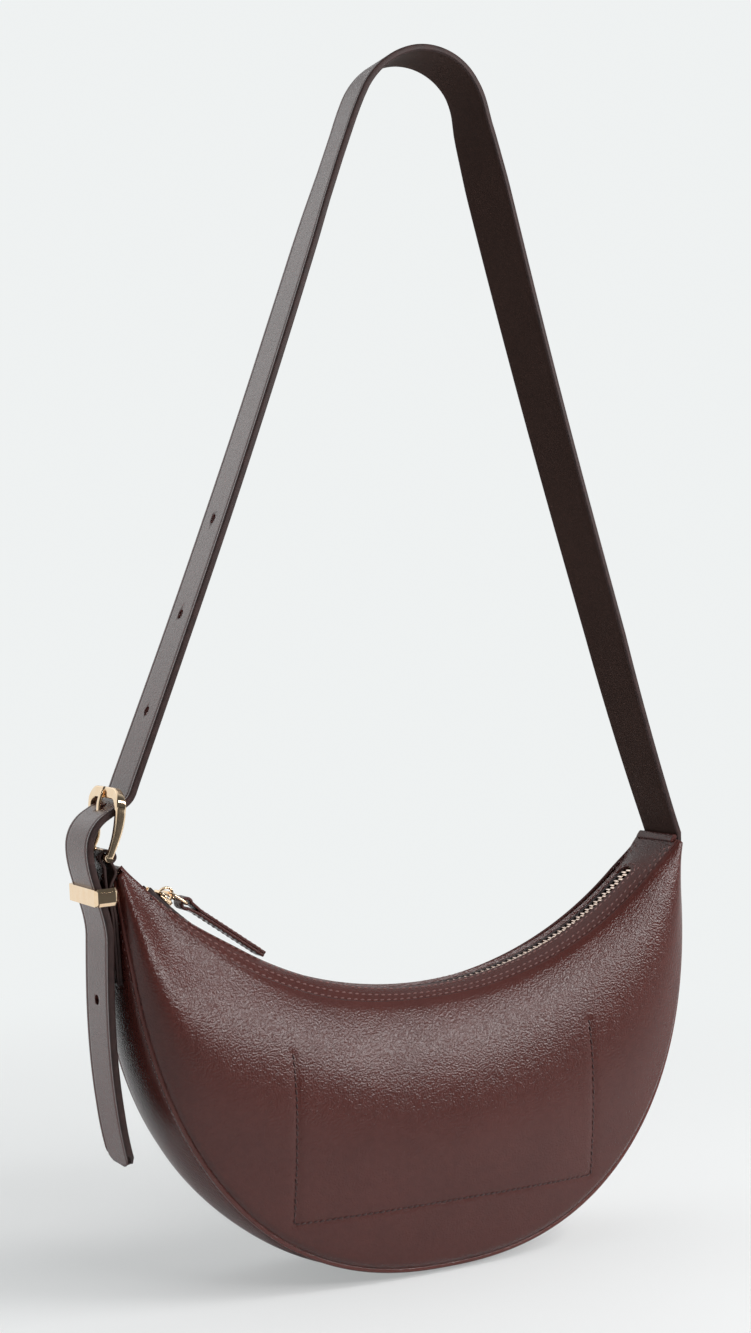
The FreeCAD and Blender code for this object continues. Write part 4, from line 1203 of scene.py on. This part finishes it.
def add(tree, kind, inputs, output=0, **settings):
    """A node with its settings and inputs; gives one of its outputs."""
    node = tree.nodes.new(kind)
    for name, value in settings.items():
        setattr(node, name, value)
    feed(tree, node, inputs)
    return node.outputs[output]


def clouds(tree, place, scale, detail):
    """An uneven pattern from 0 to 1."""
    return add(tree, "ShaderNodeTexNoise", {"Vector": place, "Scale": scale, "Detail": detail}, "Fac")


def waves(tree, place, scale, distortion, direction):
    """Parallel ribs from 0 to 1."""
    inputs = {"Vector": place, "Scale": scale, "Distortion": distortion}
    return add(tree, "ShaderNodeTexWave", inputs, "Fac", bands_direction=direction)


def reckon(tree, operation, first, second, **settings):
    """Two values put together."""
    return add(tree, "ShaderNodeMath", {0: first, 1: second}, operation=operation, **settings)


def spread(tree, source, low, high):
    """A value from 0 to 1 stretched to a range."""
    return add(tree, "ShaderNodeMapRange", {"Value": source, "To Min": low, "To Max": high}, "Result")


def rise(tree, source, first, last, low=0.0, high=1.0):
    """A smooth rise from low to high while a value goes from first to last."""
    inputs = {"Value": source, "From Min": first, "From Max": last, "To Min": low, "To Max": high}
    return add(tree, "ShaderNodeMapRange", inputs, "Result", interpolation_type="SMOOTHSTEP")


def ramp(tree, source, stops):
    """A colour ramp between two (place, colour) stops."""
    node = tree.nodes.new("ShaderNodeValToRGB")
    feed(tree, node, {"Fac": source})
    for element, (place, colour) in zip(node.color_ramp.elements, stops):
        element.position = place
        element.color = (*colour, 1)
    return node.outputs["Color"]


def bump(tree, height, strength, distance):
    """Relief from a height."""
    inputs = {"Height": height, "Strength": strength, "Distance": distance}
    return add(tree, "ShaderNodeBump", inputs, "Normal")


def new_material(name):
    """A material with its nodes, its shader and the piece's own coordinates."""
    material = bpy.data.materials.new(name)
    material.use_nodes = True
    tree = material.node_tree
    place = tree.nodes.new("ShaderNodeTexCoord").outputs["Object"]
    return material, tree, tree.nodes["Principled BSDF"], place


def leather_material(name, dark, light, rough=(0.2, 0.28), grain=0.5, specular=0.4, coat=0.0):
    """Smooth full-grain leather: a fine pebble, cloudy colour and a satin surface."""
    material, tree, shader, place = new_material(name)
    cloudy = clouds(tree, place, 38.0, 4.0)
    mottle = clouds(tree, place, 420.0, 3.0)
    pebble = clouds(tree, place, 1250.0, 1.0)
    tone = reckon(tree, "MULTIPLY", reckon(tree, "ADD", cloudy, mottle), 0.5)
    feed(tree, shader, {"Base Color": ramp(tree, tone, [(0.3, dark), (0.7, light)]),
                        "Roughness": spread(tree, mottle, *rough),
                        "Specular IOR Level": specular,
                        "Coat Weight": coat,
                        "Coat Roughness": rough[1],
                        "Normal": bump(tree, pebble, grain, 0.0005)})
    return material


def edge_paint_material():
    """Dark brown edge paint with slight brush unevenness."""
    material, tree, shader, place = new_material("edge_paint")
    streaks = clouds(tree, place, 260.0, 5.0)
    dark, light = (0.022, 0.011, 0.01), (0.042, 0.02, 0.018)
    feed(tree, shader, {"Base Color": ramp(tree, streaks, [(0.3, dark), (0.7, light)]),
                        "Roughness": spread(tree, streaks, 0.4, 0.58),
                        "Specular IOR Level": 0.3,
                        "Normal": bump(tree, streaks, 0.25, 0.0003)})
    return material


def thread_material(name, dark, light):
    """Waxed thread with its twist."""
    material, tree, shader, place = new_material(name)
    twist = waves(tree, place, 900.0, 1.5, "DIAGONAL")
    fuzz = clouds(tree, place, 2600.0, 3.0)
    feed(tree, shader, {"Base Color": ramp(tree, fuzz, [(0.3, dark), (0.7, light)]),
                        "Roughness": spread(tree, fuzz, 0.4, 0.6),
                        "Normal": bump(tree, twist, 0.4, 0.0001)})
    return material


def gold_material(name, dark, light):
    """Polished plating with faint hairlines."""
    material, tree, shader, place = new_material(name)
    stretched = add(tree, "ShaderNodeMapping", {"Vector": place, "Scale": (400.0, 2600.0, 400.0)}, "Vector")
    hairs = clouds(tree, stretched, 1.0, 4.0)
    haze = clouds(tree, place, 240.0, 3.0)
    feed(tree, shader, {"Base Color": ramp(tree, haze, [(0.3, dark), (0.7, light)]),
                        "Metallic": 1.0,
                        "Roughness": spread(tree, hairs, 0.06, 0.14),
                        "Normal": bump(tree, hairs, 0.008, 0.0001)})
    return material


def woven_material(name, dark, light, threads):
    """A plain weave: warp over weft as two crossed sets of ribs."""
    material, tree, shader, place = new_material(name)
    warp, weft = (waves(tree, place, threads, 0.4, direction) for direction in ("X", "Y"))
    weave = reckon(tree, "MULTIPLY", warp, weft)
    fibre = clouds(tree, place, 2200.0, 4.0)
    tone = reckon(tree, "MULTIPLY", weave, fibre)
    feed(tree, shader, {"Base Color": ramp(tree, tone, [(0.1, dark), (0.6, light)]),
                        "Roughness": spread(tree, fibre, 0.7, 0.9),
                        "Sheen Weight": 0.15,
                        "Normal": bump(tree, weave, 0.6, 0.0002)})
    return material


def paint_node(node, material):
    """Gives a solid that stays visible its finish."""
    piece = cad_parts[node]
    piece.data.materials.clear()
    piece.data.materials.append(material)


# Stage


def view_axes():
    """Directions away from the photo's camera and to its right."""
    yaw = math.radians(CAMERA_YAW)
    return np.array([-math.sin(yaw), math.cos(yaw), 0]), np.array([math.cos(yaw), math.sin(yaw), 0])


def backdrop_material():
    """Pale paper: the camera and reflections see it evenly white away from the bag; reflections see it
    painted dark in front and painted darker high up on the right.
    """
    material, tree, shader, place = new_material("pale_backdrop")
    tone = ramp(tree, clouds(tree, place, 1.2, 2.0), [(0.3, (0.8, 0.8, 0.8)), (0.7, (0.82, 0.82, 0.82))])
    ahead, _ = view_axes()
    depth = add(tree, "ShaderNodeVectorMath", {0: place, 1: tuple(ahead)}, "Value", operation="DOT_PRODUCT")
    x, z = (add(tree, "ShaderNodeSeparateXYZ", {"Vector": place}, axis) for axis in "XZ")
    seen = tree.nodes.new("ShaderNodeLightPath").outputs
    # Painted reflection: only reflections see the floor painted dark in front, in place of a black card held
    # before the metal
    pale_reflection_mask = reckon(tree, "MAXIMUM", rise(tree, depth, -0.6, -0.2), rise(tree, x, -0.2, -0.9))
    pale = reckon(tree, "MAXIMUM", pale_reflection_mask, reckon(tree, "SUBTRACT", 1.0, seen["Is Glossy Ray"]))
    shaded = add(tree, "ShaderNodeMix", {"Factor": pale, "A": (0.06, 0.06, 0.06, 1), "B": tone}, "Result",
                 data_type="RGBA")
    feed(tree, shader, {"Base Color": shaded, "Roughness": 0.9, "Specular IOR Level": 0.1})
    # Reflections see white far from the bag, and less of it high up on the right, where a darker reflection
    # is painted
    away = add(tree, "ShaderNodeVectorMath", {0: place, 1: (0.0, 0.0, -FLOOR_DROP * MM)}, "Value",
               operation="DISTANCE")
    painted_dark_high_right = reckon(tree, "MULTIPLY", rise(tree, z, 0.0, 0.7), rise(tree, x, -0.3, 0.5, high=0.85))
    open_side = reckon(tree, "SUBTRACT", pale_reflection_mask, painted_dark_high_right, use_clamp=True)
    open_far = reckon(tree, "MULTIPLY", open_side, rise(tree, away, 0.25, 0.65))
    mirrored = reckon(tree, "MULTIPLY", seen["Is Glossy Ray"], open_far)
    looks = reckon(tree, "MAXIMUM", seen["Is Camera Ray"], mirrored)
    share = reckon(tree, "MULTIPLY", looks, rise(tree, away, 0.08, 0.7, low=0.42))
    white = add(tree, "ShaderNodeEmission", {"Color": (0.862, 0.884, 0.884, 1)}, "Emission")
    both = add(tree, "ShaderNodeMixShader", {0: share, 1: shader.outputs["BSDF"], 2: white}, "Shader")
    feed(tree, tree.nodes["Material Output"], {"Surface": both})
    return material


def make_floor():
    """A pale sweep that goes up behind the bag."""
    ahead, aside = view_axes()
    low, reach, radius, half_width = -FLOOR_DROP * MM, 1.6, 0.7, 5.0
    bend = np.radians(np.linspace(0, 90, 17))[1:]
    profile = [(-4.0, low), (reach, low)]
    profile += [(reach + radius * math.sin(t), low + radius * (1 - math.cos(t))) for t in bend]
    profile.append((reach + radius, low + 4.5))
    sides = (-half_width, half_width)
    points = [ahead * d + aside * s + np.array([0, 0, h]) for d, h in profile for s in sides]
    floor = build("backdrop", np.array(points) / MM, grid_faces(len(profile), 2), [backdrop_material()])


def area_lamp(name, place, target, size, power, roll=0.0):
    """A soft rectangular lamp that looks at a target, rolled about its own axis by some degrees."""
    lamp = bpy.data.lights.new(name, "AREA")
    lamp.shape = "RECTANGLE"
    lamp.size, lamp.size_y = size
    lamp.energy = power
    holder = link(name, lamp)
    holder.location = place
    aim = (Vector(target) - Vector(place)).to_track_quat("-Z", "Y")
    holder.rotation_euler = (aim @ Quaternion((0, 0, 1), math.radians(roll))).to_euler()
    return holder


def around(azimuth, elevation, distance):
    """A place by degrees to the right of straight in front, degrees up, and metres from the bag's middle."""
    turn, lift = math.radians(azimuth), math.radians(elevation)
    way = Vector((math.sin(turn) * math.cos(lift), -math.cos(turn) * math.cos(lift), math.sin(lift)))
    return Vector(BAG_MIDDLE) + way * distance


def make_light():
    """A low key for the highlight, a high fill without glare, a weak rim behind, a half dark surround."""
    area_lamp("strip_key", around(34, 26, 1.5), BAG_MIDDLE, (1.4, 0.2), 14.5, roll=-16)
    fill = area_lamp("high_fill", around(48, 44, 1.6), BAG_MIDDLE, (0.7, 0.6), 16.0)
    fill.visible_glossy = False
    area_lamp("rim", (-0.8, 1.6, 0.75), (-0.12, 0.0, -0.2), (1.6, 1.1), 1.5)
    world = bpy.data.worlds.new("studio")
    bpy.context.scene.world = world
    world.use_nodes = True
    tree = world.node_tree
    way = tree.nodes.new("ShaderNodeTexCoord").outputs["Generated"]
    behind = rise(tree, add(tree, "ShaderNodeSeparateXYZ", {"Vector": way}, "Y"), -0.55, 0.25, 0.09, 0.9)
    seen = tree.nodes.new("ShaderNodeLightPath").outputs["Is Camera Ray"]
    feed(tree, tree.nodes["Background"], {"Color": (0.95, 0.97, 0.98, 1),
                                          "Strength": reckon(tree, "MAXIMUM", behind, seen)})


def make_camera():
    """The photo's view: level, a normal lens, from the bag's left front."""
    camera = bpy.data.cameras.new("photo_view")
    camera.lens = CAMERA_LENS
    camera.sensor_width = 36.0
    holder = link("photo_view", camera)
    holder.location = CAMERA_PLACE
    holder.rotation_euler = (math.radians(90), 0, math.radians(CAMERA_YAW))
    bpy.context.scene.camera = holder


def make_bag():
    """The bag's leather, metal, cloth and thread."""
    leather = leather_material("burgundy_leather", (0.054, 0.0134, 0.0106), (0.072, 0.0185, 0.0147))
    strap_back = leather_material("strap_back_leather", (0.034, 0.0175, 0.0138), (0.046, 0.0245, 0.0192),
                                  rough=(0.62, 0.78), grain=0.25, specular=0.1)
    strap_leather = leather_material("strap_leather", (0.062, 0.0152, 0.012), (0.083, 0.021, 0.0167),
                                     coat=0.42)
    # The welts get a paler copy of the leather: painted sheen for the light their raised edge catches
    welt = leather_material("welt_leather_painted_sheen", (0.076, 0.0195, 0.0155), (0.1, 0.0265, 0.0215))
    edge_paint = edge_paint_material()
    thread = thread_material("thread", (0.125, 0.055, 0.049), (0.21, 0.105, 0.095))
    dark_thread = thread_material("dark_thread", (0.03, 0.0105, 0.0095), (0.055, 0.02, 0.018))
    gold = gold_material("gold_plating", (0.95, 0.70, 0.46), (0.98, 0.76, 0.53))
    tooth_gold = gold_material("rose_gold_plating", (0.93, 0.74, 0.62), (0.97, 0.81, 0.71))
    tape = woven_material("zip_tape_weave", (0.016, 0.008, 0.008), (0.05, 0.022, 0.02), 500.0)
    lining = woven_material("lining_weave", (0.05, 0.03, 0.024), (0.16, 0.1, 0.08), 420.0)

    panels = make_panels(leather)
    make_gusset(leather)
    make_welts(welt)
    make_top_strip(leather)
    make_folded_end(leather)
    make_left_tip(leather)
    make_strap([strap_leather, edge_paint, strap_back])
    make_tail([strap_leather, edge_paint, strap_back])
    make_tab([leather, edge_paint, strap_back])
    make_buckle_frame(gold)
    make_prong(gold)
    make_keeper(gold)
    make_tapes(tape)
    make_teeth(tooth_gold)
    make_slider(gold)
    make_puller(gold)
    make_pull(leather, thread)
    strip_stitches(thread)
    slit_end_stitches(thread)
    pocket_stitches(panels["front"], dark_thread)
    welt_stitches(thread)
    for node in ("lining_front", "lining_back", "lining_gusset", "slip_pocket"):
        paint_node(node, lining)
    for node in ("zip_stop_top", "zip_stop_bottom"):
        paint_node(node, gold)


bpy.context.scene.view_settings.view_transform = "Standard"
make_bag()
make_floor()
make_light()
make_camera()
